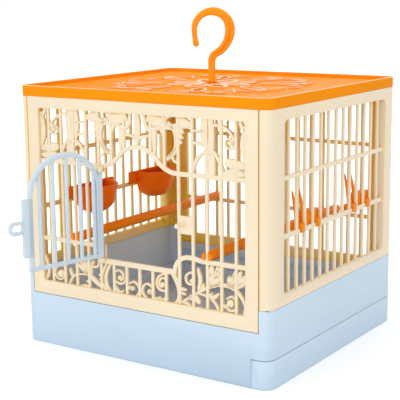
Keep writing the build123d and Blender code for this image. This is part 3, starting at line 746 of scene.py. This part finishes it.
def make_side_wall(node, turn, shell_turn):
    """A side wall: its shell, stiles, bars and rails."""
    finished(side_wall_shell(node + "_shell"), node, shell_turn)
    make_stiles(node, turn)
    bars(node + "_bars", node, 13, side_window_foot, window_top, side_bar_out, turn)
    far = side_window_half + bar_overrun
    rails = (("_upper_rail", upper_rail, rail_height), ("_lower_rail", side_rail, side_rail_height))
    for name, height, width in rails:
        ribs(node + name, node, [[(-far, height), (far, height)]], width, side_bar_out, turn, rail_depth)


# Scrollwork and the roof's relief

# The least half width of a stroke, at its tips
slimmest = 0.15


def smooth_step(before, here, after, beyond, t):
    """How far across, or up, a smooth line is at a share t of its way from here to after."""
    bend = 2 * before - 5 * here + 4 * after - beyond
    twist = 3 * here - before - 3 * after + beyond
    return 0.5 * (2 * here + (after - before) * t + bend * t ** 2 + twist * t ** 3)


def smooth_line(points, steps=7):
    """A smooth line through points."""
    ends = [points[0]] + list(points) + [points[-1]]
    line = []
    for four in zip(ends, ends[1:], ends[2:], ends[3:]):
        line += [tuple(smooth_step(*values, i / steps) for values in zip(*four)) for i in range(steps)]
    return line + [tuple(points[-1])]


def stroke(points, start, middle, end):
    """A smooth line, and its half width from the start through the middle to the end."""
    line = smooth_line(points)
    pull = 2 * middle - (start + end) / 2
    shares = [i / (len(line) - 1) for i in range(len(line))]
    widths = [(1 - t) ** 2 * start + 2 * t * (1 - t) * pull + t ** 2 * end for t in shares]
    return line, [max(width, slimmest) for width in widths]


def eye(middle, radius, steps=10):
    """A round button at the heart of a curl."""
    shares = [-cos(pi * i / steps) for i in range(steps + 1)]
    line = [(middle[0] + radius * share, middle[1]) for share in shares]
    return line, [max(radius * sqrt(max(1 - share ** 2, 0)), slimmest) for share in shares]


def volute(middle, radius, angle, turns, way, half_width=1.0, button=1.9, shrink=0.60):
    """A spiral that closes in on a button, shrinking by a factor each turn."""
    steps_a_turn = 24
    steps = int(turns * steps_a_turn)
    line, widths = [], []
    for i in range(steps + 1):
        along = i / steps_a_turn
        reach = radius * shrink ** along
        turn = radians(angle) + way * 2 * pi * along
        line.append((middle[0] + reach * cos(turn), middle[1] + reach * sin(turn)))
        widths.append(half_width * (1 - 0.15 * i / steps))
    return [(line, widths), eye(middle, button)]


def mirrored(strokes):
    return [([(-x, z) for x, z in line], widths) for line, widths in strokes]


def relief(
    name, node, strokes, material, depth=scroll_depth, out=scroll_out, flatness=1.0, swell=1.0, turn=to_front,
):
    """Rounded strokes joined as one moulding, all as much wider as swell says. Slim ones are shallower."""
    full_width = 0.9
    widths = [[width * swell for width in widths] for _, widths in strokes]
    piece = lines_piece(name, [line for line, _ in strokes], out, widths)
    sizes = {"Depth": depth * mm, "Full_Width": full_width * mm, "Flatness": flatness, "Out": out * mm}
    relief_sweep.apply(piece, materials[material], **sizes)
    return finished(smoothed(piece, 60), node, turn, material)


def lower_scrollwork():
    """Vines, curls and leaves below the door sill and the lower rail."""
    long_vine = [
        (49, 68.8), (57, 74), (65, 79), (75, 85.3), (86, 90), (97, 91.2), (107, 88.6), (114, 82), (117.8, 74),
        (116, 65.5),
    ]
    last_curl = [(98, 79), (103.5, 81.8), (108.6, 77.5), (107.8, 71), (103, 68.2), (98.5, 70), (98.6, 74)]
    lines = [
        # left of the opening
        ([(-119.8, 66), (-115.5, 76), (-119.8, 92)], 1.4, 1.6, 1.0),
        ([(-88.5, 65.4), (-85, 72.5), (-79.5, 77.5)], 1.3, 1.2, 1.0),
        ([(-83.5, 74.5), (-86, 78), (-87.8, 83)], 0.8, 1.6, 0.3),
        ([(-79.5, 77.5), (-72, 78.4), (-64, 79)], 0.8, 0.8, 0.9),
        ([(-62, 78.5), (-71, 84), (-78, 89.5)], 1.4, 2.0, 0.3),
        ([(-62, 79), (-69, 86), (-73.5, 92)], 1.4, 1.9, 0.3),
        ([(-62, 79), (-66.5, 87), (-69, 93.5)], 1.4, 1.8, 0.3),
        ([(-61.5, 79), (-63.5, 87), (-64.5, 93.5)], 1.4, 1.8, 0.3),
        ([(-61, 78.5), (-60.5, 85), (-59, 89.5)], 1.3, 1.7, 0.3),
        ([(-70, 82.5), (-60, 77), (-52.5, 72), (-46.5, 68.5)], 1.2, 2.3, 1.4),
        ([(-60, 74), (-63.5, 72.5), (-66.8, 72)], 1.2, 1.5, 0.3),
        ([(-46.5, 82), (-48.5, 81.2), (-50.8, 80.8)], 1.3, 1.2, 0.4),
        ([(-46.5, 77.8), (-48.5, 77), (-50.2, 76.6)], 1.2, 1.1, 0.4),
        ([(-46.5, 74.5), (-48, 73.6), (-49.8, 72.8)], 1.2, 1.1, 0.4),
        ([(-75, 65.2), (-68, 67.4), (-61, 65.2)], 0.9, 1.3, 0.9),
        ([(-50, 98), (-50.5, 91), (-54.5, 87.9), (-58.8, 90), (-58.6, 93.4)], 1.0, 1.1, 1.0),
        ([(-35, 94.5), (-40.2, 86), (-42, 78), (-40.5, 70.5), (-35.5, 65)], 1.0, 1.7, 1.3),
        ([(-39.5, 94.5), (-43.8, 87.5), (-46, 80)], 1.0, 1.1, 0.9),
        ([(-46.5, 74), (-44, 69.5), (-41, 65)], 1.0, 1.6, 1.2),
        ([(-15.5, 85), (-18, 79), (-23.5, 75.6), (-31, 77.5)], 1.2, 1.1, 1.0),
        ([(-31, 86.4), (-25.5, 88.8), (-20.8, 86), (-20.5, 81.5), (-23.5, 79.2)], 0.9, 1.1, 1.2),
        ([(-31, 72.5), (-28.5, 68.5), (-23, 65.5)], 1.2, 1.9, 1.4),
        ([(-24, 65.5), (-21.8, 67.8), (-19.4, 70)], 1.4, 1.2, 0.3),
        ([(-13, 77.4), (-8, 79.8), (-2.6, 77), (-1.2, 71), (-5.5, 65.2)], 0.9, 1.1, 1.2),
        ([(-15.5, 73), (-12, 73.2), (-9.5, 72.9)], 1.4, 1.8, 1.8),
        # under the opening, to its right
        ([(14.5, 77.4), (8.5, 80.2), (3.6, 77), (2.6, 71), (7, 65.2)], 0.9, 1.1, 1.2),
        ([(15.5, 72.7), (13, 72.7), (11.2, 72.7)], 1.4, 1.9, 1.9),
        ([(32, 92.6), (26.5, 92.2), (21, 87.8), (19.6, 81.5), (23, 76.6), (31, 76)], 0.9, 1.2, 1.0),
        ([(31.5, 87), (26.5, 88.6), (23, 85.5), (23.2, 81.2), (26, 79.4)], 0.9, 1.1, 1.2),
        ([(16, 67), (23, 66.6), (31, 67.5)], 1.2, 1.5, 1.0),
        ([(21.5, 65.5), (22.5, 67.8), (22.8, 70.2)], 1.6, 1.3, 0.3),
        ([(25, 65.5), (27, 67.6), (29, 69.8)], 1.4, 1.3, 0.3),
        ([(37, 94.5), (42.8, 85.5), (45.2, 77.5), (44.3, 70), (40, 65)], 1.0, 1.8, 1.3),
        ([(40, 94), (44.5, 88), (46.5, 82)], 1.0, 1.2, 0.9),
        ([(46.5, 80.5), (50, 81), (54, 80.2)], 1.5, 1.4, 0.3),
        ([(46.5, 77.5), (50, 76.8), (53, 75.6)], 1.4, 1.2, 0.3),
        ([(63, 97.8), (57, 97.6), (53, 93.5), (54.2, 88.3), (58.5, 86.8), (61, 89.4)], 0.9, 1.1, 1.0),
        ([(67, 82.5), (69, 93), (66.2, 104)], 0.9, 2.0, 0.3),
        ([(70, 83.5), (72.2, 86.5), (72.9, 90)], 0.9, 1.5, 0.3),
        (long_vine, 1.0, 1.7, 1.3),
        ([(56, 73.6), (63, 74.5), (68.8, 69.3)], 1.2, 3.2, 0.3),
        ([(47, 68.5), (53, 68), (59, 65.5)], 0.9, 1.6, 0.9),
        ([(64, 79.3), (73, 78.8), (80.5, 76.8), (86, 72), (89.8, 65.2)], 0.8, 1.2, 1.2),
        ([(79.5, 77), (84.5, 78.3), (90.2, 83)], 0.9, 2.0, 0.3),
        ([(78.5, 78.5), (80.5, 80), (82.5, 82.5)], 1.2, 1.2, 0.3),
        # acanthus, palm and the last curl
        ([(81.5, 86.5), (79.3, 91), (76.6, 95)], 1.3, 2.1, 0.3),
        ([(82, 87), (80.8, 97), (82.2, 108)], 1.6, 3.2, 0.8),
        ([(84, 88), (87.2, 97), (88.4, 108)], 1.6, 3.2, 0.8),
        ([(85.5, 89), (91, 95), (92.6, 103)], 1.4, 2.4, 0.3),
        ([(86.5, 89.5), (90, 92), (93, 96.2)], 1.2, 1.8, 0.3),
        ([(84, 96), (89, 99), (93.4, 99.6)], 1.4, 1.7, 0.3),
        ([(85, 101), (90, 105), (95, 106.8)], 1.4, 1.8, 0.3),
        ([(82, 98), (78.6, 101), (76.6, 105)], 1.3, 1.7, 0.3),
        ([(99, 91), (103.4, 97), (107, 103.6)], 1.4, 2.4, 0.3),
        ([(105.5, 98), (106.6, 103), (109.4, 108.4)], 1.3, 1.9, 0.3),
        ([(101, 92.5), (100, 96.5), (100.6, 101)], 1.3, 1.6, 0.3),
        ([(100.5, 91), (108.5, 97.5), (113.5, 107)], 1.6, 3.2, 0.5),
        ([(102, 91), (112, 96), (119.8, 103.5)], 1.6, 3.2, 1.2),
        ([(104, 90), (112, 93.6), (119.8, 97.5)], 1.4, 2.6, 1.0),
        (last_curl, 0.8, 1.1, 1.2),
        ([(93, 73.5), (95.5, 71.5), (99, 69.6)], 1.0, 1.2, 0.9),
    ]
    buttons = [
        ((-57.4, 92.6), 1.7), ((-24.6, 81.4), 2.3), ((-9.6, 72.9), 2.3), ((11.2, 72.7), 2.6),
        ((26.6, 81.8), 2.4), ((59.6, 90.4), 1.9), ((101.9, 75.2), 3.5),
    ]
    strokes = [stroke(*line) for line in lines] + [eye(*button) for button in buttons]
    return strokes + volute((-100, 75), 9.0, 70, 1.0, 1, button=3.6, shrink=0.45)


def upper_scrollwork():
    """Leaves, crescents and curls over the door opening, alike on both sides."""
    lines = [
        ([(12, 240), (22, 236.5), (34, 236)], 3.6, 5.2, 4.2),
        ([(32, 232.6), (39, 232), (48, 234)], 3.0, 2.4, 3.6),
        ([(33, 240.8), (38, 242), (44, 243.4)], 2.0, 0.9, 0.8),
        ([(45, 236.4), (52, 236.6), (61, 235.4)], 4.0, 4.8, 1.2),
        ([(19.4, 203), (19.6, 216), (18.4, 231)], 1.0, 2.2, 3.4),
        ([(46, 232), (49.5, 229.5), (52.6, 227.4)], 3.0, 2.2, 0.6),
        ([(45, 227.4), (48.6, 224.6), (51.6, 222.4)], 2.6, 2.0, 0.6),
        ([(44.6, 222.4), (47.6, 219.8), (50.2, 217.6)], 2.4, 1.8, 0.6),
        ([(35, 236), (42.8, 229), (45, 219), (42.4, 210), (33.5, 202)], 1.6, 2.5, 1.3),
        ([(34, 203.5), (40.5, 208.5), (46.5, 216)], 1.2, 1.3, 1.1),
        ([(39.6, 207), (41.2, 201.6), (47, 199.2)], 1.0, 1.1, 1.0),
        ([(21, 229.5), (26.5, 231), (30.6, 223)], 1.2, 1.8, 1.1),
        ([(8, 243), (9.5, 233), (15, 226)], 1.1, 1.8, 1.1),
        ([(0, 217), (6, 221), (15, 222.5)], 1.3, 1.4, 1.1),
        ([(61, 189), (65, 202), (74, 211.5), (82, 210)], 1.5, 1.5, 1.1),
        ([(81.5, 190), (82.4, 202), (82, 216), (82.6, 230), (81.6, 242.5)], 4.4, 3.1, 2.6),
        ([(84, 214), (91, 204), (96.3, 189)], 1.5, 1.6, 1.4),
        ([(74.4, 217.5), (73.4, 229), (74.6, 242.5)], 2.0, 2.9, 2.4),
        ([(84, 236.8), (93, 236.4), (102, 231.4), (106.8, 224)], 1.4, 1.4, 1.1),
        ([(62, 231), (67, 230.4), (74, 230.4)], 1.0, 1.1, 1.4),
        ([(62, 220), (66, 219.2), (73, 218)], 1.1, 1.3, 1.4),
        ([(96.5, 205), (107, 202.6), (120.2, 199)], 1.8, 4.6, 4.0),
        ([(96, 193), (107, 195.4), (120.2, 198)], 2.4, 4.4, 3.6),
        ([(120.2, 204), (116.2, 220), (118.4, 238)], 2.4, 3.2, 1.4),
        ([(112, 243), (114, 238), (118, 234)], 1.1, 1.8, 1.1),
    ]
    side = [stroke(*line) for line in lines] + volute((101.7, 222), 6.4, 20, 1.25, -1, button=2.0, shrink=0.5)
    middle = [stroke([(0, 214), (0, 226), (0, 243)], 1.6, 3.4, 2.0)]
    return side + mirrored(side) + middle


def lens_edge(inner, outer, bulge, angle, clear):
    """The line round a roof opening, a little way outside its edge."""
    half = (outer - inner) / 2 + clear
    rise = bulge + clear
    radius = (half ** 2 + rise ** 2) / (2 * rise)
    reach = asin(half / radius)
    middle = (inner + outer) / 2
    turn = Matrix.Rotation(radians(angle), 2)
    steps = 16
    angles = [reach * (2 * i / steps - 1) for i in range(steps + 1)]
    sides = []
    for way in (-1, 1):
        points = [(middle + radius * sin(a), way * (radius * cos(a) - radius + rise)) for a in angles]
        sides.append([tuple(turn @ Vector(point)) for point in points])
    return sides


def roof_relief():
    """Raised rims round the roof's openings, and scrolls that run out towards its corners."""
    petals, clear = 8, 1.6
    step = 360 / petals
    inner_petal, outer_petal = (12, 44, 6.5), (52, 88, 5.0)
    strokes = []
    for index in range(petals):
        for petal, turned, half_width in ((inner_petal, 0, 2.8), (outer_petal, 0.5, 1.4)):
            edges = lens_edge(*petal, (index + turned) * step, clear)
            strokes += [(line, [half_width] * len(line)) for line in edges]
    corner = [
        stroke([(52, 42), (60, 54), (72, 57), (82, 53)], 0.8, 1.3, 1.0),
        stroke([(62, 34), (76, 40), (90, 36)], 0.7, 1.1, 0.6),
        stroke([(30, 58), (36, 74), (50, 80), (62, 77)], 0.7, 1.2, 0.9),
        stroke([(64, 58), (67, 66), (74, 72)], 0.6, 1.7, 0.3),
        stroke([(44, 76), (48, 83), (55, 86)], 0.6, 1.7, 0.3),
        stroke([(84, 36), (90, 31), (96, 29)], 0.6, 1.7, 0.3),
        stroke([(10, 90), (22, 95), (36, 91)], 0.6, 1.3, 0.6),
        stroke([(96, 12), (100, 4), (100, 0)], 0.6, 1.3, 0.9),
    ]
    curl = {"turns": 1.4, "half_width": 0.9, "shrink": 0.5}
    corner += volute((84, 46), 7.0, 90, way=-1, button=1.7, **curl)
    corner += volute((61, 78), 7.5, 240, way=-1, button=1.8, **curl)
    corner += volute((22, 82), 7.5, -60, way=1, button=1.8, **curl)
    corner += volute((88, 14), 6.5, 30, way=1, button=1.7, **curl)
    right = corner + [([(x, -y) for x, y in line], widths) for line, widths in corner]
    return strokes + right + mirrored(right)


# The hook, the cups, the forks' blades and the door

def hook_line():
    """The hook's middle line, in its own plane: shaft, neck, throat, eye and tip."""
    shaft_top, neck_radius, neck_bend = 283.0, 9, 60.9
    throat_radius, eye_radius = 27.6, 18.1
    tip_radius, tip_bend = 60, 16.5
    points = [(0, height) for height in (252.7, 257, 260, 262.4, 264.5, 268, 273, 278)]
    bends = [radians(neck_bend) * i / 10 for i in range(11)]
    points += [(neck_radius - neck_radius * cos(a), shaft_top + neck_radius * sin(a)) for a in bends]
    across, up = points[-1]
    heading = radians(90 - neck_bend)
    middle = (across - throat_radius * sin(heading), up + throat_radius * cos(heading))
    points += arc(middle, throat_radius, -neck_bend, 0, 14)[1:]
    across, up = points[-1]
    points += arc((across - eye_radius, up), eye_radius, 0, 180, 30)[1:]
    across, up = points[-1]
    bends = [radians(tip_bend) * i / 36 for i in range(1, 37)]
    return points + [(across + tip_radius * (1 - cos(a)), up - tip_radius * sin(a)) for a in bends]


def hook_half_width(along):
    """Half the hook's width in its plane: full at its throat and slim towards its tip."""
    stations = [
        (0, 3.5), (0.085, 3.5), (0.11, 3.6), (0.24, 3.8), (0.33, 4.1), (0.47, 4.9),
        (0.64, 4.2), (0.80, 3.2), (0.93, 2.6), (0.98, 3.0), (1, 3.0),
    ]
    for (s0, w0), (s1, w1) in zip(stations, stations[1:]):
        if along <= s1 + 1e-9:
            share = (along - s0) / (s1 - s0)
            return w0 + (w1 - w0) * share * share * (3 - 2 * share)


def flattened_ring(around, flat):
    """Points on a circle of radius 1 that flat, from 0 to 1, draws out towards a rounded square."""
    squareness = 0.16
    power = 1 - squareness * flat
    angles = [2 * pi * step / around for step in range(around)]
    return [tuple(abs(v) ** power * (1 if v >= 0 else -1) for v in (cos(a), sin(a))) for a in angles]


def make_hook():
    """The hook, lofted with a shallow flute along both faces, and its collar."""
    around, tip_length = 36, 2.9
    stem_depth, stem_length, turn_length, thinning = 3.5, 9, 12, 0.35
    shallow, deepened, flute_middle, flute_spread, flute_width = 0.08, 0.30, 0.38, 0.17, 0.30
    # How the painted shade in the flute grows with its depth
    shade_gain, shade_start, shade_limit = 2.6, 0.2, 0.8
    points = hook_line()
    lengths = [0]
    for (x0, z0), (x1, z1) in zip(points, points[1:]):
        lengths.append(lengths[-1] + hypot(x1 - x0, z1 - z0))
    rings, groove_shades = [], []
    for index, (across, up) in enumerate(points):
        before = points[max(index - 1, 0)]
        after = points[min(index + 1, len(points) - 1)]
        heading = Vector((after[0] - before[0], after[1] - before[1])).normalized()
        along = lengths[index] / lengths[-1]
        half = hook_half_width(along)
        left = lengths[-1] - lengths[index]
        closing = sqrt(max(1 - max(1 - left / tip_length, 0) ** 2, 0.02))
        flat = min(max((lengths[index] - stem_length) / turn_length, 0), 1)
        depth = min(stem_depth - thinning * flat, 1.1 * half)
        groove = flat * (shallow + deepened * exp(-((along - flute_middle) / flute_spread) ** 2))
        ring = []
        for wide, thick in flattened_ring(around, flat):
            flute = 1 - groove * exp(-(wide / flute_width) ** 2)
            side = wide * half * closing
            ring.append((across + heading.y * side, thick * depth * flute * closing, up - heading.x * side))
            groove_shades.append(min(max(shade_gain * (1 - flute) - shade_start, 0), shade_limit))
        rings.append(ring)
    hook = lofted("hook_skin", rings)
    hook.data.attributes.new("groove", "FLOAT", "POINT").data.foreach_set("value", groove_shades)
    finished(smoothed(hook, 60), "carry_hook", Matrix.Rotation(hook_turn, 4, "Z"), "hook_plastic")
    collar = [(0, 261.9), (4.9, 261.9), (5.4, 262.3), (5.4, 262.9), (4.8, 263.35), (0, 263.4)]
    finished(spun("hook_collar", collar), "carry_hook")


def cup_ring(height, inset):
    """The cup's outline at a height over its foot, flat at the wall and bowed towards the cage."""
    rim_half, rim_reach, rim_straight, taper, steps = 26, 32.5, 9, 0.22, 14
    scale = 1 - taper + taper * height / cup_height
    half, reach, straight = rim_half * scale - inset, rim_reach * scale - inset, rim_straight * scale
    bow = reach - straight
    radius = (half ** 2 + bow ** 2) / (2 * bow)
    spread = atan2(half, radius - bow)
    middle = reach - radius
    angles = [spread * (i / steps - 1) for i in range(2 * steps + 1)]
    curve = [(middle + radius * cos(a), radius * sin(a)) for a in angles]
    return [(inset, -half)] + curve + [(inset, half)]


def wall_inset(height, floor, radius, wall):
    """How far the bowl's wall is set in, more so near its rounded foot."""
    rise = height - floor
    return wall + (radius - sqrt(radius ** 2 - (radius - rise) ** 2) if rise < radius else 0)


def make_cup(node, middle):
    """A feeding cup: its bowl with a rounded foot, its wings and two hooks over the rail."""
    wall, foot_radius = 2, 13
    wings_half, wings_foot, wings_top = 40, 137.0, 151.0
    heights = [0.15, 0.8, 2, 4, 6.5, 9.5, 13, 22, 30.4]
    outer = [(height, wall_inset(height, 0, foot_radius, 0)) for height in heights]
    rim = [(30.85, 0.25), (cup_height, 0.8), (cup_height, 1.2), (30.85, 1.75), (30.4, wall)]
    inner = [
        (height + wall, wall_inset(height + wall, wall, foot_radius - wall, wall))
        for height in reversed(heights[:-1])
    ]
    rings = [
        [(cup_back + x, middle + y, cup_foot + height) for x, y in cup_ring(height, inset)]
        for height, inset in outer + rim + inner
    ]
    finished(smoothed(lofted(node + "_bowl", rings), 40), node)
    wings = rounded_box(wings_half, wings_foot, wings_top, radius=2.0, middle=-middle)
    plate(node + "_wings", node, wings, -wings_face, -cup_back, edge=0.5, turn=to_left)
    over, under, rail_out, hook_out, hook_end = 143, 139.3, -143.1, -144.7, 135
    hook = [
        (wings_face, under), (rail_out, under), (rail_out, hook_end),
        (hook_out, hook_end), (hook_out, over), (wings_face, over),
    ]
    for side, name in ((-1, "_front_hook"), (1, "_rear_hook")):
        place = -(middle + side * 1.5 * bar_pitch)
        plate(node + name, node, hook, place - cup_hook_half, place + cup_hook_half)


def make_blades(node, starts):
    """The fork's two tapering blades, leaning into the cage."""
    around, steps = 16, 12
    root_out, root_height, lean, rise = 136.2, 140.5, 6.1, 31.4
    root_width, root_depth, tip = 4.6, 1.9, 0.6
    angles = [2 * pi * i / around for i in range(around)]
    blades = []
    for start in starts:
        rings = []
        for t in [step / steps for step in range(steps + 1)]:
            wide = root_width * (1 - t) ** 0.9 + tip * t
            deep = root_depth * (1 - t) + tip * t
            out, up = root_out - lean * t, root_height + rise * t
            rings.append([(out + deep * cos(a), start + wide * sin(a), up) for a in angles])
        blades.append(rings)
    finished(smoothed(lofted(node + "_blades", *blades), 50), node, material="perch_plastic")


def make_door():
    """The door leaf: its arched rim, foot rail, bars, latch flange and ring, and its hinge rod."""
    node, finish = "door", "door_plastic"
    corner, half_thickness = 0.9, 1.8
    spring, middle, head_half, head_rise = 168.0, 41.5, 39, 37.5
    rim_foot, foot_rail, bar_foot, first_bar = 100.6, 102.4, 101.5, 8
    angles = [pi * i / 32 for i in range(33)]
    head = [(middle + head_half * cos(a), spring + head_rise * sin(a)) for a in angles]
    rim = [(middle + head_half, rim_foot)] + head + [(middle - head_half, rim_foot)]
    look = {"out": 0, "turn": to_door, "corner": corner, "material": finish}
    ribs("door_rim", node, [rim], width=5.0, depth=3.6, **look)
    ribs("door_foot", node, [[(0.8, foot_rail), (82.9, foot_rail)]], width=4.0, depth=3.5, **look)
    places = [first_bar + bar_pitch * index for index in range(5)]
    tops = [spring + head_rise * sqrt(1 - ((x - middle) / head_half) ** 2) for x in places]
    uprights = [[(x, bar_foot), (x, top)] for x, top in zip(places, tops)]
    ribs("door_bars", node, uprights, width=bar_width, depth=3.4, **look)
    sides = {"back": -half_thickness, "face": half_thickness, "turn": to_door, "material": finish}
    flange = rounded_box(half_across=5.5, foot=114.5, top=169.5, radius=1.5, middle=83.5)
    plate("latch_flange", node, flange, edge=0.5, **sides)
    ring = rounded_box(half_across=8, foot=136.9, top=150.1, radius=5.6, middle=96)
    hole = rounded_box(half_across=5.4, foot=140.5, top=146.5, radius=2.4, middle=95.2)
    plate("latch_ring", node, ring, holes=[hole], edge=0.6, **sides)
    rod_radius, neck_radius, trunnion_radius = 2.4, 2.1, 1.5
    rod = [
        (0, 97.4), (1.2, 97.4), (trunnion_radius, 97.7), (trunnion_radius, 100.4), (neck_radius, 100.4),
        (rod_radius, 100.7), (rod_radius, 183.4), (neck_radius, 183.7), (trunnion_radius, 183.7),
        (trunnion_radius, 186.4), (1.2, 186.7), (0, 186.7),
    ]
    finished(spun("hinge_rod", rod), node, to_door, finish)


make_camera()

for node in ("base_housing", "litter_drawer", "hook_nut"):
    softened(node)
softened("roof_lid", width=0.8, segments=3, material="lid_plastic")
make_cup("cup_front", -2 * bar_pitch)
make_cup("cup_rear", 5 * bar_pitch)
for node in ("perch_left", "perch_right", "fork_front", "fork_rear"):
    softened(node, width=0.5, segments=3, material="perch_plastic")
make_blades("fork_front", (-65.4, -52.4))
make_blades("fork_rear", (43.1, 56.1))
make_front_panel()
make_back_panel()
make_side_wall("right_wall", to_right, to_front)
make_side_wall("left_wall", to_left, to_back)
upper, lower = upper_scrollwork(), lower_scrollwork()
relief("upper_scrollwork", "front_scroll_upper", upper, "scroll_plastic", flatness=1.7, swell=1.15)
relief("lower_scrollwork", "front_scroll_lower", lower, "scroll_plastic", flatness=1.5, swell=1.12)
on_roof = {"depth": 1.5, "out": roof_plate - 0.1, "flatness": 1.1, "turn": to_roof}
relief("roof_ornament", "roof_lid", roof_relief(), "rosette_plastic", **on_roof)
make_hook()
make_door()


def seen_directly(nodes):
    """1 for what the camera sees straight, in a gloss or through plastic, and 0 for what lights the cage."""
    path = nodes.tree.nodes.new("ShaderNodeLightPath").outputs
    seen = nodes.maths("ADD", path["Is Camera Ray"], path["Is Glossy Ray"])
    return nodes.maths("ADD", seen, path["Is Transmission Ray"])


def make_floor():
    """A plain pale floor that shows white to the camera and keeps the cage's shadow."""
    near, far, near_lift, far_lift = 0.22, 0.9, 0.26, 0.60
    bpy.ops.mesh.primitive_plane_add(size=8.0, location=(0, 0, 0))
    floor = bpy.context.object
    floor.name = "floor"
    surface = Surface("floor_white")
    seen = seen_directly(surface)
    away = surface.tree.nodes.new("ShaderNodeVectorMath")
    away.operation = "LENGTH"
    surface.feed(away.inputs[0], surface.place)
    glow = surface.span(away.outputs["Value"], near, far, near_lift, far_lift)
    lift = surface.maths("MULTIPLY", seen, glow)
    surface.set(Base_Color=(0.86, 0.86, 0.86, 1), Roughness=0.9, Emission_Strength=lift)
    surface.set(Emission_Color=(1, 1, 1, 1))
    floor.data.materials.append(surface.material)


def area_light(name, place, size, power):
    """A square light that faces the middle of the cage."""
    cage_middle = Vector((0, 0, 0.15))
    data = bpy.data.lights.new(name, "AREA")
    data.size = size
    data.energy = power
    lamp = link(bpy.data.objects.new(name, data))
    lamp.location = place
    lamp.rotation_euler = (cage_middle - Vector(place)).to_track_quat("-Z", "Y").to_euler()


def make_light():
    """Soft studio light, strongest from the front, with an even pale surround."""
    world = bpy.data.worlds.new("studio")
    bpy.context.scene.world = world
    world.use_nodes = True
    nodes = Nodes(world.node_tree)
    seen = nodes.maths("MINIMUM", seen_directly(nodes), 1.0)
    surround, background_white = 0.82, 1.0
    background = world.node_tree.nodes["Background"]
    background.inputs["Color"].default_value = (1, 1, 1, 1)
    nodes.feed(background.inputs["Strength"], nodes.span(seen, 0.0, 1.0, surround, background_white))
    area_light("front_light", (-0.7, -1.8, 0.55), size=1.2, power=4)
    area_light("key_light", (1.05, -1.65, 0.50), size=1.2, power=6)
    area_light("back_light", (-0.6, 1.8, 0.9), size=1.2, power=4)
    area_light("top_light", (0.0, 0.0, 2.2), size=1.6, power=7)


make_floor()
make_light()
bpy.context.scene.view_settings.view_transform = "Standard"
